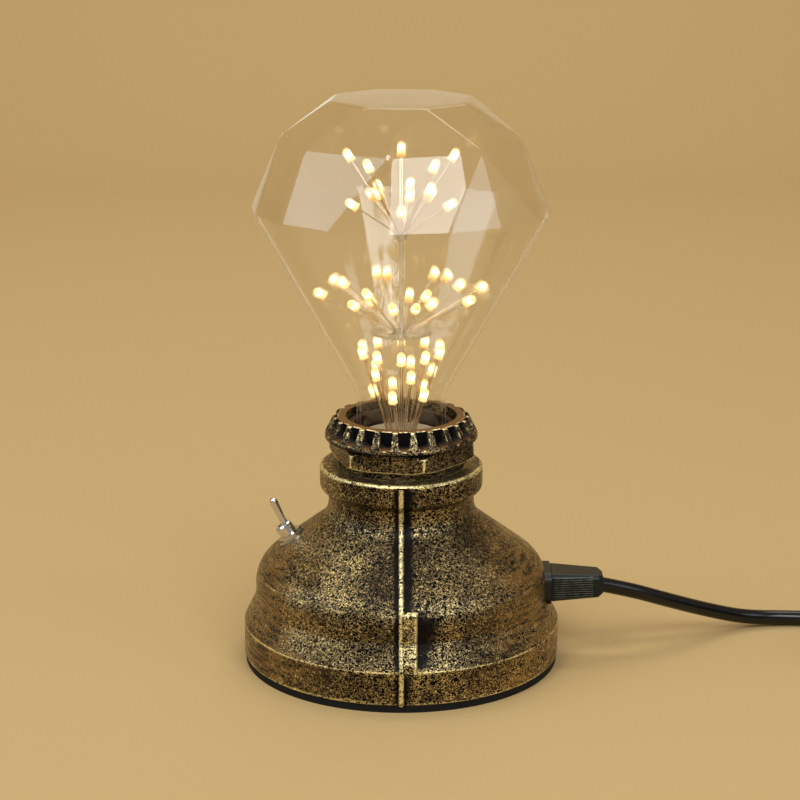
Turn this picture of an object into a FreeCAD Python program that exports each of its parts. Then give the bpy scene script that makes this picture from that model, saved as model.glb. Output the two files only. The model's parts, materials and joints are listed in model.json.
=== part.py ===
import FreeCAD, Part
import math
import os
import re
import Sketcher
from FreeCAD import Placement, Rotation, Vector

# Pipe-fitting table lamp: a cast reducing socket as the base, a hex bushing and a
# fluted ring above it, a lampholder with a faceted bulb, a toggle switch in the
# shoulder and a detachable mains lead. Millimetres, Z up, origin under the base.

doc = FreeCAD.newDocument("pipe_lamp")
sheet = doc.addObject("Spreadsheet::Sheet", "sizes")

# Each driving dimension: alias, value and what it measures.
SIZES = [
    ("foot_inset", 0.4, "how far the foot ring stays inside the base's band"),
    ("foot_width", 7.0, "width of the rubber foot ring"),
    ("foot_thickness", 2.4, "thickness of the foot ring"),
    ("band_step", 4.05, "how far the heavy band stands out from the body"),
    ("bead_top", 13.4, "height where the band starts to slope in"),
    ("slope_step", 2.05, "how far the middle of the band's slope stands out"),
    ("slope_top", 17.2, "height half way up the band's slope"),
    ("cove_top", 21.8, "height where the cove meets the body"),
    ("body_radius", 48.35, "radius of the body above the band"),
    ("shoulder_height", 32.0, "height of the shoulder's corner"),
    ("cone_slope", 37.0, "slope of the shoulder's cone in degrees"),
    ("neck_radius", 24.0, "radius of the neck"),
    ("neck_length", 7.85, "length of the neck over the cone's corner"),
    ("collar_step", 2.8, "how far the collar stands out from the neck"),
    ("collar_height", 8.6, "height of the collar itself"),
    ("shoulder_round", 11.5, "rounding of the shoulder"),
    ("neck_round", 8.0, "rounding where the cone meets the neck"),
    ("cove_round", 3.0, "rounding of the cove above the band"),
    ("edge_round", 1.1, "rounding of cast edges"),
    ("collar_round", 2.2, "rounding under the collar"),
    ("wall", 3.8, "wall of the casting's cone"),
    ("body_wall", 4.45, "wall of the body round its bore"),
    ("neck_wall", 3.5, "wall of the neck"),
    ("bore_round", 6.0, "rounding inside the shoulder"),
    ("ridge_width", 1.4, "width of the mould's parting ridge"),
    ("ridge_height", 0.8, "how far the parting ridge stands out"),
    ("pad_start", 0.0, "side of the cast pad next to the ridge"),
    ("pad_width", 5.2, "width of the cast pad beside the ridge"),
    ("pad_height", 0.85, "how far the pad's face stands out from the body"),
    ("pad_bottom", 14.0, "lower end of the cast pad"),
    ("pad_top", 31.8, "upper end of the cast pad"),
    ("lug_radius", 4.6, "radius of the cover's lugs"),
    ("lug_inset", 3.4, "distance from the bore to the lugs' centres"),
    ("lug_height", 11.0, "height of the lugs"),
    ("lug_count", 3, "number of lugs"),
    ("screw_radius", 1.5, "radius of the cover screws"),
    ("screw_length", 9.0, "length of the cover screws"),
    ("screw_head", 2.9, "radius of the cover screws' heads"),
    ("head_height", 1.5, "height of the cover screws' heads"),
    ("cover_thickness", 1.2, "thickness of the bottom cover"),
    ("cover_bottom", 4.2, "height of the bottom cover's lower face"),
    ("part_gap", 0.1, "play between parts that are fixed together"),
    ("shank_length", 15.0, "length of the bushing's thread"),
    ("bushing_wall", 2.7, "wall of the bushing's threaded shank"),
    ("hex_step", 0.8, "how far the hexagon's flats stand out from the thread"),
    ("hex_lift", 2.2, "gap between the collar and the hexagon"),
    ("hex_height", 6.4, "height of the hexagon"),
    ("hex_turn", -12.4, "turn of the hexagon in degrees"),
    ("ring_lift", 0.6, "gap between the hexagon and the fluted ring"),
    ("ring_height", 7.1, "height of the fluted ring"),
    ("ring_radius", 25.1, "radius of the fluted ring's lower rim"),
    ("rim_height", 1.3, "height of the fluted ring's lower rim"),
    ("ring_top_radius", 22.1, "radius of the fluted ring's top"),
    ("ring_play", 0.4, "play between the fluted ring and the lampholder"),
    ("ring_seat_depth", 1.6, "depth of the seat under the fluted ring"),
    ("flute_width", 4.0, "width of a flute"),
    ("flute_floor", 20.9, "distance of a flute's floor from the axis"),
    ("flute_end", 2.0, "height of the flutes' lower ends over the rim's base"),
    ("flute_count", 24, "number of flutes"),
    ("ring_turn", 2.5, "turn of the fluted ring in degrees"),
    ("holder_wall", 2.3, "wall of the lampholder's mouth"),
    ("holder_rim_drop", 2.4, "how far the lampholder ends below the ring"),
    ("holder_rim", 2.6, "how far the lampholder's flange stands out"),
    ("flange_height", 2.0, "height of the lampholder's flange"),
    ("holder_depth", 20.8, "depth of the lampholder's inner floor under the collar's top"),
    ("holder_base", 6.0, "thickness of the lampholder's floor"),
    ("locknut_height", 3.5, "height of the locknut under the bushing"),
    ("thread_play", 0.2, "play of the bulb's cap in the lampholder"),
    ("shell_wall", 0.6, "wall of the lampholder's screw shell"),
    ("shell_lift", 6.0, "rise from the lampholder's floor to the screw shell"),
    ("shell_length", 21.0, "length of the screw shell"),
    ("spring_strip", 0.5, "thickness of the lampholder's contact spring"),
    ("spring_width", 5.0, "width of the lampholder's contact spring"),
    ("spring_reach", 3.0, "how far the spring reaches past the bulb's contact each way"),
    ("spring_shift", 2.0, "how far the spring's middle lies beside the axis"),
    ("terminal_spacing", 16.0, "distance between the lampholder's terminals"),
    ("terminal_length", 6.0, "length of a lampholder terminal"),
    ("terminal_width", 5.0, "width of a lampholder terminal"),
    ("terminal_height", 3.6, "height of a lampholder terminal"),
    ("cap_radius", 13.1, "radius of the bulb's screw cap"),
    ("cap_wall", 0.4, "wall of the bulb's screw cap"),
    ("cap_lift", 7.5, "rise from the lampholder's floor to the bulb's cap"),
    ("cap_length", 21.7, "length of the bulb's cap"),
    ("cap_seal", 3.0, "depth of the insulator inside the bulb's cap"),
    ("cap_step", 0.6, "how far the insulator stands inside the cap and past the contact"),
    ("contact_radius", 4.6, "radius of the bulb's centre contact"),
    ("contact_lift", 3.0, "rise from the lampholder's floor to the bulb's contact"),
    ("contact_height", 1.6, "height of the bulb's centre contact"),
    ("glass_step", 1.4, "how far the glass's neck stands out from the cap"),
    ("glass_sink", 0.2, "how far the glass starts under the cap's top"),
    ("glass_neck_length", 12.6, "length of the glass's neck"),
    ("flare_step", 3.0, "how far the flare widens the neck"),
    ("flare_length", 8.6, "length of the flare"),
    ("glass_wall", 1.1, "wall of the glass"),
    ("girdle_radius", 48.4, "radius to the corners of the widest facets"),
    ("cone_length", 55.4, "rise from the flare to the widest place"),
    ("break_radius", 38.8, "radius to the corners between the facet rows"),
    ("break_rise", 22.9, "rise from the widest place to the corners between the facet rows"),
    ("table_radius", 23.6, "radius to the corners of the top facet"),
    ("table_rise", 12.3, "rise from the corners between the facet rows to the top facet"),
    ("facet_count", 8, "sides of the top facet"),
    ("facet_turn", -140.0, "angle of the first facet corner in degrees"),
    ("board_play", 1.1, "play between the circuit board and the glass"),
    ("board_lift", 2.0, "rise from the glass's lower end to the circuit board"),
    ("board_thickness", 1.6, "thickness of the circuit board"),
    ("stem_radius", 0.9, "radius of the stem inside the bulb"),
    ("disc_radius", 9.8, "radius of the disc on the stem"),
    ("disc_lift", 33.4, "rise from the circuit board to the disc on the stem"),
    ("disc_thickness", 1.0, "thickness of the disc on the stem"),
    ("stem_rise", 33.0, "rise from the disc to the stem's top"),
    ("knob_height", 2.0, "height of the knob on the stem"),
    ("bead_light_radius", 1.6, "radius of a light bead"),
    ("bead_light_length", 4.4, "length of a light bead"),
    ("lead_radius", 0.3, "radius of a light bead's lead"),
    ("switch_place", 36.3, "distance of the switch from the lamp's axis"),
    ("switch_flat", 0.25, "depth of the flat under the switch's nut"),
    ("flat_radius", 5.4, "radius of the flat under the switch's nut"),
    ("switch_wall", 3.2, "wall that the switch is clamped to"),
    ("pocket_radius", 9.4, "radius of the flat behind the wall"),
    ("pocket_depth", 9.0, "depth of the cut that makes the flat behind the wall"),
    ("switch_length", 13.0, "length of the switch's body"),
    ("switch_width", 7.9, "width of the switch's body"),
    ("switch_depth", 9.2, "depth of the switch's body"),
    ("switch_thread", 2.95, "radius of the switch's threaded neck"),
    ("switch_neck", 5.3, "how far the threaded neck stands out"),
    ("switch_bore", 1.75, "bore of the threaded neck"),
    ("switch_mouth", 2.35, "radius of the threaded neck's mouth"),
    ("mouth_depth", 2.2, "depth of the threaded neck's flared mouth"),
    ("switch_floor", 1.0, "thickness of the threaded neck's floor"),
    ("thread_chamfer", 0.5, "chamfer at the end of the threaded neck"),
    ("nut_flats", 8.0, "width of the switch's nut across its flats"),
    ("nut_height", 1.3, "height of the switch's nut"),
    ("washer_radius", 4.9, "radius of the switch's washer"),
    ("washer_thickness", 0.4, "thickness of the switch's washer"),
    ("pivot_height", 1.5, "height of the lever's pivot over the wall"),
    ("pivot_radius", 1.4, "radius of the lever's barrel"),
    ("pivot_play", 0.06, "play of the lever's barrel in the neck's bore"),
    ("tag_spacing", 4.7, "distance between the switch's terminal tags"),
    ("tag_length", 4.2, "length of the switch's terminal tags"),
    ("tag_width", 2.0, "width of the switch's terminal tags"),
    ("tag_thickness", 0.8, "thickness of the switch's terminal tags"),
    ("lever_root", 1.0, "radius of the lever at its barrel"),
    ("lever_tip", 1.35, "radius of the lever at its tip"),
    ("lever_length", 13.4, "length of the lever from its pivot"),
    ("lever_tail", 2.4, "length of the lever's tail inside the neck"),
    ("lever_tail_radius", 0.7, "radius of the lever's tail"),
    ("lever_tilt", 12.5, "tilt of the lever each way in degrees"),
    ("inlet_height", 25.0, "height of the mains inlet's centre"),
    ("inlet_sink", 0.95, "how far the inlet's seat lies behind the body's surface"),
    ("flange_thickness", 2.3, "thickness of the inlet's flange"),
    ("flange_width", 17.4, "width of the inlet's flange"),
    ("flange_tall", 10.8, "height of the inlet's flange"),
    ("flange_corner", 3.0, "rounding of the inlet's flange"),
    ("housing_width", 15.4, "width of the inlet behind its flange"),
    ("housing_tall", 9.6, "height of the inlet behind its flange"),
    ("housing_depth", 11.2, "depth of the inlet behind its flange"),
    ("housing_corner", 1.0, "rounding of the inlet behind its flange"),
    ("socket_width", 13.6, "width of the inlet's socket"),
    ("socket_tall", 7.8, "height of the inlet's socket"),
    ("socket_depth", 11.0, "depth of the inlet's socket"),
    ("clip_width", 21.0, "width of the inlet's retaining clip"),
    ("clip_tall", 13.0, "height of the inlet's retaining clip"),
    ("clip_thickness", 1.0, "thickness of the inlet's retaining clip"),
    ("clip_corner", 1.5, "rounding of the inlet's retaining clip"),
    ("clip_drop", 7.8, "distance from the inlet's seat back to the clip"),
    ("inlet_pin", 1.2, "radius of the inlet's pins"),
    ("pin_spacing", 8.6, "distance between the inlet's pins"),
    ("pin_recess", 2.0, "how far the pins end inside the socket's mouth"),
    ("pin_tail", 4.0, "length of the pins behind the inlet"),
    ("fit_gap", 0.3, "play between the connector and the inlet"),
    ("sleeve_play", 0.06, "play of a pin in its contact sleeve"),
    ("sleeve_wall", 0.5, "wall of a contact sleeve"),
    ("sleeve_inset", 0.6, "how far a contact sleeve stands back from the nose's end"),
    ("sleeve_overrun", 1.0, "how far a contact sleeve reaches into the grip"),
    ("nose_length", 10.4, "length of the connector's nose"),
    ("grip_length", 17.2, "length of the connector's grip"),
    ("grip_width", 14.0, "width of the grip at the inlet"),
    ("grip_tall", 9.8, "height of the grip at the inlet"),
    ("grip_end_width", 10.8, "width of the grip at the cord"),
    ("grip_end_tall", 8.0, "height of the grip at the cord"),
    ("grip_round", 2.0, "rounding of the grip's corners"),
    ("grip_lip", 1.6, "length of the sloping lip at the grip's end"),
    ("grip_lip_drop", 2.1, "how much narrower the lip's end is"),
    ("rib_count", 9, "number of grooves on a side of the grip"),
    ("rib_pitch", 0.79, "distance between the grip's grooves"),
    ("rib_width", 0.4, "width of a groove on the grip"),
    ("rib_depth", 0.35, "depth of a groove on the grip"),
    ("rib_inset", 0.8, "distance of the grooves from the grip's front"),
    ("rib_margin", 4.0, "length of the grip that the grooves leave plain"),
    ("cord_radius", 2.5, "radius of the mains cord"),
    ("coil_outer", 35.0, "radius of the coil's widest half turn"),
    ("coil_pitch", 5.6, "distance between turns and between layers"),
    ("coil_layer_half_turns", 4, "half turns in the coil's lowest layer"),
    ("coil_bottom", 3.6, "height of the coil's lowest turns"),
    ("tie_width", 6.0, "width of the coil's tie"),
    ("tie_thickness", 0.8, "thickness of the coil's tie"),
    ("tie_corner", 1.2, "inner rounding of the coil's tie"),
    ("tie_play", 0.3, "play between the tie and the turns above and below it"),
    ("plug_length", 35.0, "length of the mains plug's body"),
    ("plug_width", 35.2, "width of the mains plug's body"),
    ("plug_thickness", 13.6, "thickness of the mains plug's body"),
    ("plug_nose_width", 26.0, "width of the plug's body at the pins"),
    ("plug_back_width", 16.0, "width of the plug's body at the cord"),
    ("plug_round", 2.0, "rounding of the plug's edges"),
    ("relief_wall", 0.8, "wall of the strain relief at its thin end"),
    ("relief_length", 22.0, "length of the plug's strain relief"),
    ("relief_radius", 4.6, "radius of the strain relief at the plug"),
    ("plug_pin", 2.0, "radius of the plug's pins"),
    ("plug_pin_length", 19.0, "length of the plug's pins"),
    ("plug_pin_spacing", 19.0, "distance between the plug's pins"),
    ("wire_radius", 0.8, "radius of the inner wires"),
]

# Sizes and heights that follow from those above: alias, formula and what it measures.
FOLLOWING = [
    ("bead_radius", "body_radius + band_step", "radius of the heavy band round the base"),
    ("slope_radius", "body_radius + slope_step", "radius half way up the band's slope"),
    ("thread_bore", "body_radius - body_wall", "bore of the base"),
    ("lug_circle", "thread_bore - lug_inset", "radius of the circle of lugs"),
    ("pad_radius", "body_radius + pad_height", "distance of the pad's face from the axis"),
    ("inlet_seat", "body_radius - inlet_sink", "distance of the inlet's seat from the axis"),
    ("clip_place", "inlet_seat - clip_drop", "distance of the clip from the axis"),
    ("neck_bore", "neck_radius - neck_wall", "bore of the neck"),
    ("collar_radius", "neck_radius + collar_step", "radius of the collar"),
    ("cone_rise", "(body_radius - neck_radius) * tan(cone_slope)", "height of the cone"),
    ("neck_corner", "shoulder_height + cone_rise", "height of the corner under the neck"),
    ("collar_bottom", "neck_corner + neck_length", "height of the collar's lower edge"),
    ("collar_top", "collar_bottom + collar_height", "height of the collar's upper edge"),
    ("shank_radius", "neck_bore - part_gap", "radius of the bushing's thread"),
    ("hex_flats", "2 * (shank_radius + hex_step)", "width of the hexagon across its flats"),
    ("bushing_bore", "shank_radius - bushing_wall", "bore of the hex bushing"),
    ("holder_radius", "bushing_bore - part_gap", "radius of the lampholder"),
    ("holder_mouth", "holder_radius - holder_wall", "radius of the lampholder's mouth"),
    ("holder_flange", "holder_radius + holder_rim", "radius of the lampholder's flange"),
    ("ring_bore", "holder_radius + ring_play", "bore of the fluted ring"),
    ("holder_floor", "collar_top - holder_depth", "height of the lampholder's inner floor"),
    ("shell_radius", "cap_radius + thread_play", "inner radius of the screw shell"),
    ("shell_bottom", "holder_floor + shell_lift", "lower end of the screw shell"),
    ("shell_top", "shell_bottom + shell_length", "upper end of the screw shell"),
    ("contact_bottom", "holder_floor + contact_lift", "lower end of the bulb's contact"),
    ("cap_bottom", "holder_floor + cap_lift", "lower end of the bulb's screw cap"),
    ("cap_top", "cap_bottom + cap_length", "upper end of the bulb's screw cap"),
    ("glass_neck", "cap_radius + glass_step", "radius of the bulb's neck"),
    ("glass_bottom", "cap_top - glass_sink", "lower end of the glass"),
    ("glass_neck_top", "glass_bottom + glass_neck_length", "height where the glass flares"),
    ("flare_radius", "glass_neck + flare_step", "radius where the flare becomes straight"),
    ("flare_top", "glass_neck_top + flare_length", "height where the flare becomes straight"),
    ("girdle_height", "flare_top + cone_length", "height of the widest place"),
    ("board_radius", "glass_neck - glass_wall - board_play", "radius of the circuit board"),
    ("board_height", "glass_bottom + board_lift", "height of the circuit board's upper face"),
    ("disc_height", "board_height + disc_lift", "height of the disc on the stem"),
    ("stem_top", "disc_height + stem_rise", "height of the stem's top"),
]

CELLS = SIZES + [(alias, f"={formula}", note) for alias, formula, note in FOLLOWING]
for row, (alias, value, note) in enumerate(CELLS, start=1):
    sheet.set(f"A{row}", note)
    sheet.set(f"B{row}", str(value))
    sheet.setAlias(f"B{row}", alias)
doc.recompute()


class Named:
    """The sheet's values by name, for shapes that Part's own functions make."""

    def __init__(self, aliases):
        for alias in aliases:
            setattr(self, alias, float(sheet.get(alias)))


ALIASES = {alias for alias, value, note in CELLS}
s = Named(ALIASES)

# Heights and places that follow from the sheet, as expressions.
CONE_RISE = "tan(cone_slope)"
INNER_DROP = "wall / cos(cone_slope)"
HEX_BOTTOM = "collar_top + hex_lift"
HEX_TOP = f"{HEX_BOTTOM} + hex_height"
RING_BOTTOM = f"{HEX_TOP} + ring_lift"
RING_TOP = f"{RING_BOTTOM} + ring_height"
HOLDER_TOP = f"{RING_TOP} - holder_rim_drop"
SHANK_BOTTOM = f"{HEX_BOTTOM} - shank_length"
BORE_CORNER = f"shoulder_height + (body_radius - thread_bore) * {CONE_RISE} - {INNER_DROP}"
BORE_TOP = f"shoulder_height + (body_radius - neck_bore) * {CONE_RISE} - {INNER_DROP}"
FOOT_OUTER = "bead_radius - foot_inset"
FOOT_INNER = f"{FOOT_OUTER} - foot_width"
LUG_BOTTOM = "cover_bottom + cover_thickness"

finished = []


def bound(text):
    """An expression on the sheet, from one that uses the bare aliases."""
    return re.sub(
        r"[a-z][a-z_]*",
        lambda found: f"sizes.{found.group()}" if found.group() in ALIASES else found.group(),
        str(text),
    )


def bind(thing, **properties):
    """Binds properties of a document object to expressions on the sheet."""
    for name, text in properties.items():
        thing.setExpression(name.replace("__", "."), bound(text))
    return thing


def place(thing, x="0", y="0", z="0"):
    """Binds an object's position to expressions on the sheet."""
    return bind(thing, Placement__Base__x=x, Placement__Base__y=y, Placement__Base__z=z)


def keep(thing, label):
    """Names a finished piece, which is written to a file of that name."""
    thing.Label = label
    finished.append(thing)
    return thing


def cylinder(name, radius, height, x="0", y="0", z="0"):
    made = doc.addObject("Part::Cylinder", name)
    bind(made, Radius=radius, Height=height)
    return place(made, x, y, z)


def box(name, length, width, height, x="0", y="0", z="0"):
    made = doc.addObject("Part::Box", name)
    bind(made, Length=length, Width=width, Height=height)
    return place(made, x, y, z)


def prism(name, circumradius, height, z="0"):
    made = doc.addObject("Part::Prism", name)
    made.Polygon = 6
    bind(made, Circumradius=circumradius, Height=height)
    return place(made, z=z)


def cut(name, base, *tools):
    """The base with each tool cut away in turn."""
    for number, tool in enumerate(tools):
        made = doc.addObject("Part::Cut", f"{name}_cut{number}")
        made.Base = base
        made.Tool = tool
        base = made
    return base


def fuse(name, *things):
    made = doc.addObject("Part::MultiFuse", name)
    made.Shapes = list(things)
    made.Refine = True
    return made


def common(name, first, second):
    made = doc.addObject("Part::MultiCommon", name)
    made.Shapes = [first, second]
    return made


def group(name, *things):
    """Separate solids that share one node."""
    made = doc.addObject("Part::Compound", name)
    made.Links = list(things)
    return made


def shaped(name, shape, placement=None):
    """A piece whose shape is made by Part's own functions."""
    made = doc.addObject("Part::Feature", name)
    made.Shape = shape
    if placement:
        made.Placement = placement
    return made


def origin_plane(body, role):
    return next(item for item in body.Origin.OriginFeatures if item.Role == role)


def outline(sketch, points):
    """A closed outline whose corners are dimensioned from the sketch's origin."""
    count = len(points)
    for corner in range(count):
        start = Vector(1 + corner, (corner * 7) % 5, 0)
        end = Vector(2 + corner, (corner * 7 + 7) % 5, 0)
        sketch.addGeometry(Part.LineSegment(start, end), False)
    for corner in range(count):
        following = (corner + 1) % count
        sketch.addConstraint(Sketcher.Constraint("Coincident", corner, 2, following, 1))
    for corner, (across, up) in enumerate(points):
        for kind, text in (("DistanceX", across), ("DistanceY", up)):
            if text == "0":
                on_axis = -2 if kind == "DistanceX" else -1
                rule = Sketcher.Constraint("PointOnObject", corner, 1, on_axis)
                sketch.addConstraint(rule)
                continue
            index = sketch.addConstraint(Sketcher.Constraint(kind, -1, 1, corner, 1, 10.0))
            sketch.setExpression(f"Constraints[{index}]", bound(text))


def turned(name, points, rounds=()):
    """A body turned about Z from (radius, height) corners, with rounded corners.

    Each round is a radius and the corners of the outline that it takes."""
    body = doc.addObject("PartDesign::Body", name)
    sketch = body.newObject("Sketcher::SketchObject", f"{name}_outline")
    sketch.AttachmentSupport = [(origin_plane(body, "XZ_Plane"), "")]
    sketch.MapMode = "FlatFace"
    outline(sketch, points)
    doc.recompute()
    turn = body.newObject("PartDesign::Revolution", f"{name}_turn")
    turn.Profile = sketch
    turn.ReferenceAxis = (sketch, ["V_Axis"])
    turn.Angle = 360.0
    doc.recompute()
    corners = [sketch.getPoint(index, 1) for index in range(len(points))]
    last = turn
    for number, (radius, chosen) in enumerate(rounds):
        edges = []
        for index, edge in enumerate(last.Shape.Edges, start=1):
            if not isinstance(edge.Curve, Part.Circle):
                continue
            for corner in chosen:
                near_radius = abs(edge.Curve.Radius - corners[corner].x) < 0.001
                near_height = abs(edge.Curve.Center.z - corners[corner].y) < 0.001
                if near_radius and near_height:
                    edges.append(f"Edge{index}")
        fillet = body.newObject("PartDesign::Fillet", f"{name}_round{number}")
        fillet.Base = (last, edges)
        fillet.setExpression("Radius", bound(radius))
        doc.recompute()
        last = fillet
    body.Tip = last
    return body


def plate(name, points, thickness, rounds):
    """A flat body across X from (y, z) corners that mirror each other about Y = 0."""
    body = doc.addObject("PartDesign::Body", name)
    sketch = body.newObject("Sketcher::SketchObject", f"{name}_outline")
    sketch.AttachmentSupport = [(origin_plane(body, "YZ_Plane"), "")]
    sketch.MapMode = "FlatFace"
    outline(sketch, points)
    doc.recompute()
    pad = body.newObject("PartDesign::Pad", f"{name}_pad")
    pad.Profile = sketch
    pad.Midplane = True
    pad.setExpression("Length", bound(thickness))
    doc.recompute()
    # The half outline leaves out the point on the axis, so its corners count from 1.
    corners = [sketch.getPoint(index, 1) for index in range(len(points) // 2)]
    last = pad
    for number, (radius, chosen) in enumerate(rounds):
        edges = []
        for index, edge in enumerate(last.Shape.Edges, start=1):
            middle = edge.CenterOfMass
            for corner in chosen:
                near_side = abs(abs(middle.y) - abs(corners[corner - 1].x)) < 0.001
                near_height = abs(middle.z - corners[corner - 1].y) < 0.001
                if near_side and near_height and abs(middle.x) < 0.001:
                    edges.append(f"Edge{index}")
        fillet = body.newObject("PartDesign::Fillet", f"{name}_round{number}")
        fillet.Base = (last, edges)
        fillet.setExpression("Radius", bound(radius))
        doc.recompute()
        last = fillet
    body.Tip = last
    return body


# The cast base: skin, parting ridges and pads, bore, lugs and the places for the
# switch and the inlet.
def skin_points(grow):
    return [
        ("0", "foot_thickness"),
        (f"bead_radius + {grow}", "foot_thickness"),
        (f"bead_radius + {grow}", "bead_top"),
        (f"slope_radius + {grow}", "slope_top"),
        (f"body_radius + {grow}", "cove_top"),
        (f"body_radius + {grow}", "shoulder_height"),
        (f"neck_radius + {grow}", "neck_corner"),
        (f"neck_radius + {grow}", "collar_bottom"),
        (f"collar_radius + {grow}", "collar_bottom"),
        (f"collar_radius + {grow}", "collar_top"),
        ("0", "collar_top"),
    ]


def skin_rounds():
    return [
        ("shoulder_round", [5]),
        ("neck_round", [6]),
        ("cove_round", [4]),
        ("collar_round", [8]),
        ("edge_round", [2, 9]),
    ]


# The switch's own frame: its origin on the cone and its Z along the cone's normal.
switch_height = s.shoulder_height + (s.body_radius - s.switch_place) * math.tan(
    math.radians(s.cone_slope)
)
SWITCH_FRAME = Placement(
    Vector(-s.switch_place, 0, switch_height), Rotation(Vector(0, 1, 0), -s.cone_slope)
)


def on_switch(thing, along="0", across="0", side="0"):
    """Puts an object in the switch's frame, moved along, across and beside its axis."""
    thing.Placement = SWITCH_FRAME
    x = f"- switch_place - sin(cone_slope) * ({along}) + cos(cone_slope) * ({across})"
    z = (
        f"shoulder_height + (body_radius - switch_place) * {CONE_RISE}"
        f" + cos(cone_slope) * ({along}) + sin(cone_slope) * ({across})"
    )
    return place(thing, x, side, z)


def round_slab(name, width, tall, depth, corner, x):
    """A slab across Y and Z with round corners, from x outwards."""
    made = doc.addObject("Part::Feature", name)
    half_width = width / 2 - corner
    half_tall = tall / 2 - corner
    edges = []
    for quarter, (side, up) in enumerate(((1, 1), (-1, 1), (-1, -1), (1, -1))):
        centre = Vector(0, side * half_width, up * half_tall)
        turn = math.radians(90 * quarter)
        arc = [
            centre + Vector(0, math.cos(turn + step), math.sin(turn + step)) * corner
            for step in (0, math.pi / 4, math.pi / 2)
        ]
        edges.append(Part.Arc(*arc).toShape())
    for first, second in ((0, 1), (1, 2), (2, 3), (3, 0)):
        start = edges[first].Vertexes[-1].Point
        end = edges[second].Vertexes[0].Point
        if start.distanceToPoint(end) > 0.001:
            edges.append(Part.makeLine(start, end))
    wire = Part.Wire(Part.__sortEdges__(edges))
    made.Shape = Part.Face(wire).extrude(Vector(depth, 0, 0))
    made.Placement = Placement(Vector(x, 0, s.inlet_height), Rotation())
    return made


def cast_base():
    # The turned forms start at an angle that no opening crosses.
    clear_side = Placement(Vector(), Rotation(Vector(0, 0, 1), 45))
    skin = turned("base_skin", skin_points("0"), skin_rounds())
    skin.Placement = clear_side
    half = skin_points("ridge_height")[1:-1]
    mirrored = [(f"-({across})", up) for across, up in half[::-1]]
    ridge = plate("parting_ridge", half + mirrored, "ridge_width", skin_rounds())
    front_pad = box(
        "front_pad",
        "pad_width",
        "pad_radius",
        "pad_top - pad_bottom",
        x="pad_start",
        y="-pad_radius",
        z="pad_bottom",
    )
    back_pad = box(
        "back_pad",
        "pad_width",
        "pad_radius",
        "pad_top - pad_bottom",
        x="-pad_start - pad_width",
        z="pad_bottom",
    )
    outside = fuse("base_outside", skin, ridge, front_pad, back_pad)
    bore = turned(
        "base_bore",
        [
            ("0", "foot_thickness / 2"),
            ("thread_bore", "foot_thickness / 2"),
            ("thread_bore", BORE_CORNER),
            ("neck_bore", BORE_TOP),
            ("neck_bore", "collar_top + hex_lift"),
            ("0", "collar_top + hex_lift"),
        ],
        [("bore_round", [2])],
    )
    bore.Placement = clear_side
    hollow = cut("base_hollow", outside, bore)
    lugs = []
    holes = []
    for number in range(int(s.lug_count)):
        turn = f"90 + {number} * 360 / lug_count"
        where = {
            "x": f"lug_circle * cos({turn})",
            "y": f"lug_circle * sin({turn})",
        }
        lugs.append(cylinder(f"lug{number}", "lug_radius", "lug_height", z=LUG_BOTTOM, **where))
        holes.append(
            cylinder(
                f"lug_hole{number}",
                "screw_radius + part_gap / 2",
                "screw_length",
                z="cover_bottom",
                **where,
            )
        )
    lugged = fuse("base_lugged", hollow, *lugs)
    flat = on_switch(cylinder("switch_flat_tool", "flat_radius", "flat_radius"), "-switch_flat")
    hole = on_switch(
        cylinder("switch_hole", "switch_thread + part_gap", "2 * (switch_wall + pocket_depth)"),
        "-switch_wall - pocket_depth",
    )
    pocket = on_switch(
        cylinder("switch_pocket", "pocket_radius", "pocket_depth"), "-switch_wall - pocket_depth"
    )
    recess = round_slab(
        "inlet_recess",
        s.flange_width + 2 * s.part_gap,
        s.flange_tall + 2 * s.part_gap,
        s.bead_radius,
        s.flange_corner,
        s.inlet_seat,
    )
    window = round_slab(
        "inlet_window",
        s.housing_width + 2 * s.part_gap,
        s.housing_tall + 2 * s.part_gap,
        s.bead_radius,
        s.housing_corner,
        s.inlet_seat - s.housing_depth,
    )
    keep(
        cut("base", lugged, *holes, flat, hole, pocket, recess, window),
        "base_casting",
    )


def bottom_parts():
    keep(
        turned(
            "foot",
            [
                (FOOT_INNER, "0"),
                (FOOT_OUTER, "0"),
                (FOOT_OUTER, "foot_thickness"),
                (FOOT_INNER, "foot_thickness"),
            ],
        ),
        "foot_ring",
    )
    panel = cylinder(
        "cover_plate", "thread_bore - 3 * part_gap", "cover_thickness", z="cover_bottom"
    )
    holes = []
    screws = []
    for number in range(int(s.lug_count)):
        turn = f"90 + {number} * 360 / lug_count"
        x = f"lug_circle * cos({turn})"
        y = f"lug_circle * sin({turn})"
        holes.append(
            cylinder(
                f"cover_hole{number}",
                "screw_radius + part_gap / 2",
                "3 * cover_thickness",
                x,
                y,
                "cover_bottom - cover_thickness",
            )
        )
        head = cylinder(
            f"screw_head{number}", "screw_head", "head_height", x, y, "cover_bottom - head_height"
        )
        shank = cylinder(
            f"screw_shank{number}",
            "screw_radius",
            "screw_length - part_gap",
            x,
            y,
            "cover_bottom",
        )
        slot = box(
            f"screw_slot{number}",
            "2 * screw_head",
            "head_height / 2",
            "head_height / 2",
            f"{x} - screw_head",
            f"{y} - head_height / 4",
            "cover_bottom - head_height",
        )
        screws.append(cut(f"screw{number}", fuse(f"screw_blank{number}", head, shank), slot))
    keep(cut("cover", panel, *holes), "bottom_cover")
    keep(group("cover_screws", *screws), "bottom_cover_screws")


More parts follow.
